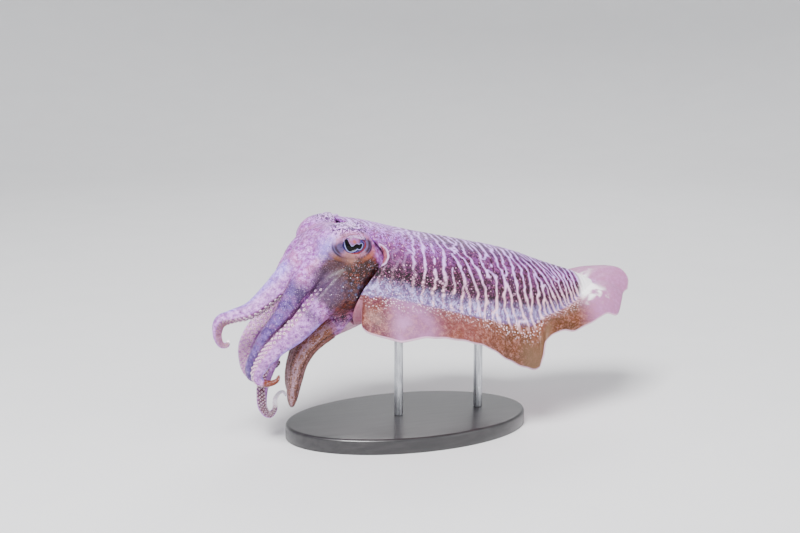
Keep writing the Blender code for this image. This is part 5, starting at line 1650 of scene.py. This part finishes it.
def finishRods():
    # the two rods are the CAD model's own, brushed along their length
    f = Finish("standSteel", Metallic=1.0)
    brushed = f.noise(0.5, 3, stretch=(1, 1, 0.06))
    f.paint(f.two(brushed, (196, 198, 202, 1), (168, 170, 176, 1), 0.35, 0.65))
    f.rough(f.between(brushed, 0.3, 0.7, 0.22, 0.36))
    f.relief(brushed, 0.05, 0.3)
    for name in ("stand_rod_front", "stand_rod_rear"):
        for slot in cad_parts[name].material_slots:
            slot.material = f.material


makeStandBase()
finishRods()


# Light, floor and camera

shot = {
    "lens": 60, "eye": (-0.30146, -0.81450, 0.28048), "aim": (-0.005, 0, 0.112),
    # the floor is flat to this radius and then curves up all round, like a bowl, in metres
    "floorFlat": 1.4, "floorRadius": 3.4, "floorRise": 3.2, "floorRings": 24, "floorSides": 72,
    # name, place, aim, size and watts
    "lamps": [
        ("keyLight", (-0.75, -1.0, 1.5), (0, 0, 0.1), 0.7, 84),
        ("fillLight", (1.2, -1.4, 0.9), (0, 0, 0.1), 1.4, 12),
        ("rimLight", (0.7, 1.2, 1.2), (0, 0, 0.12), 0.9, 12),
    ],
    "sky": 0.36, "skyColour": (0.93, 0.95, 1, 1),
}


def aim(holder, place, at):
    holder.location = place
    holder.rotation_euler = (Vector(at) - Vector(place)).to_track_quat("-Z", "Y").to_euler()


def makeLight():
    world = bpy.data.worlds.new("studio")
    world.use_nodes = True
    sky = world.node_tree.nodes["Background"].inputs
    sky["Color"].default_value = shot["skyColour"]
    sky["Strength"].default_value = shot["sky"]
    bpy.context.scene.world = world
    for name, place, at, size, power in shot["lamps"]:
        lamp = bpy.data.lights.new(name, "AREA")
        lamp.size = size
        lamp.energy = power
        aim(looseObject(name, lamp), place, at)


def makeFloor():
    bend = np.linspace(0, math.pi / 2, shot["floorRings"])
    radius = shot["floorFlat"] + (shot["floorRadius"] - shot["floorFlat"]) * np.sin(bend)
    rise = shot["floorRise"] * (1 - np.cos(bend))
    turn = fullTurn(shot["floorSides"])
    rings = [np.stack([np.cos(turn) * r, np.sin(turn) * r, np.full(len(turn), z)], axis=1)
             for r, z in zip(radius, rise)]
    faces = ringFaces(len(rings), len(turn)) + [tuple(range(len(turn)))[::-1]]
    mesh = bpy.data.meshes.new("floor")
    mesh.from_pydata(np.concatenate(rings).tolist(), [], faces)
    mesh.shade_smooth()
    f = Finish("paleFloor", Roughness=0.7)
    f.paint(f.blend(f.noise(60, 3), tint(226, 226, 228, 1), tint(232, 232, 233, 1)))
    mesh.materials.append(f.material)
    looseObject("floor", mesh)


def makeCamera():
    camera = bpy.data.cameras.new("camera")
    camera.lens = shot["lens"]
    camera.sensor_width = 36
    holder = looseObject("camera", camera)
    aim(holder, shot["eye"], shot["aim"])
    bpy.context.scene.camera = holder


makeLight()
makeFloor()
makeCamera()
print("stand, light, floor and camera are in place")
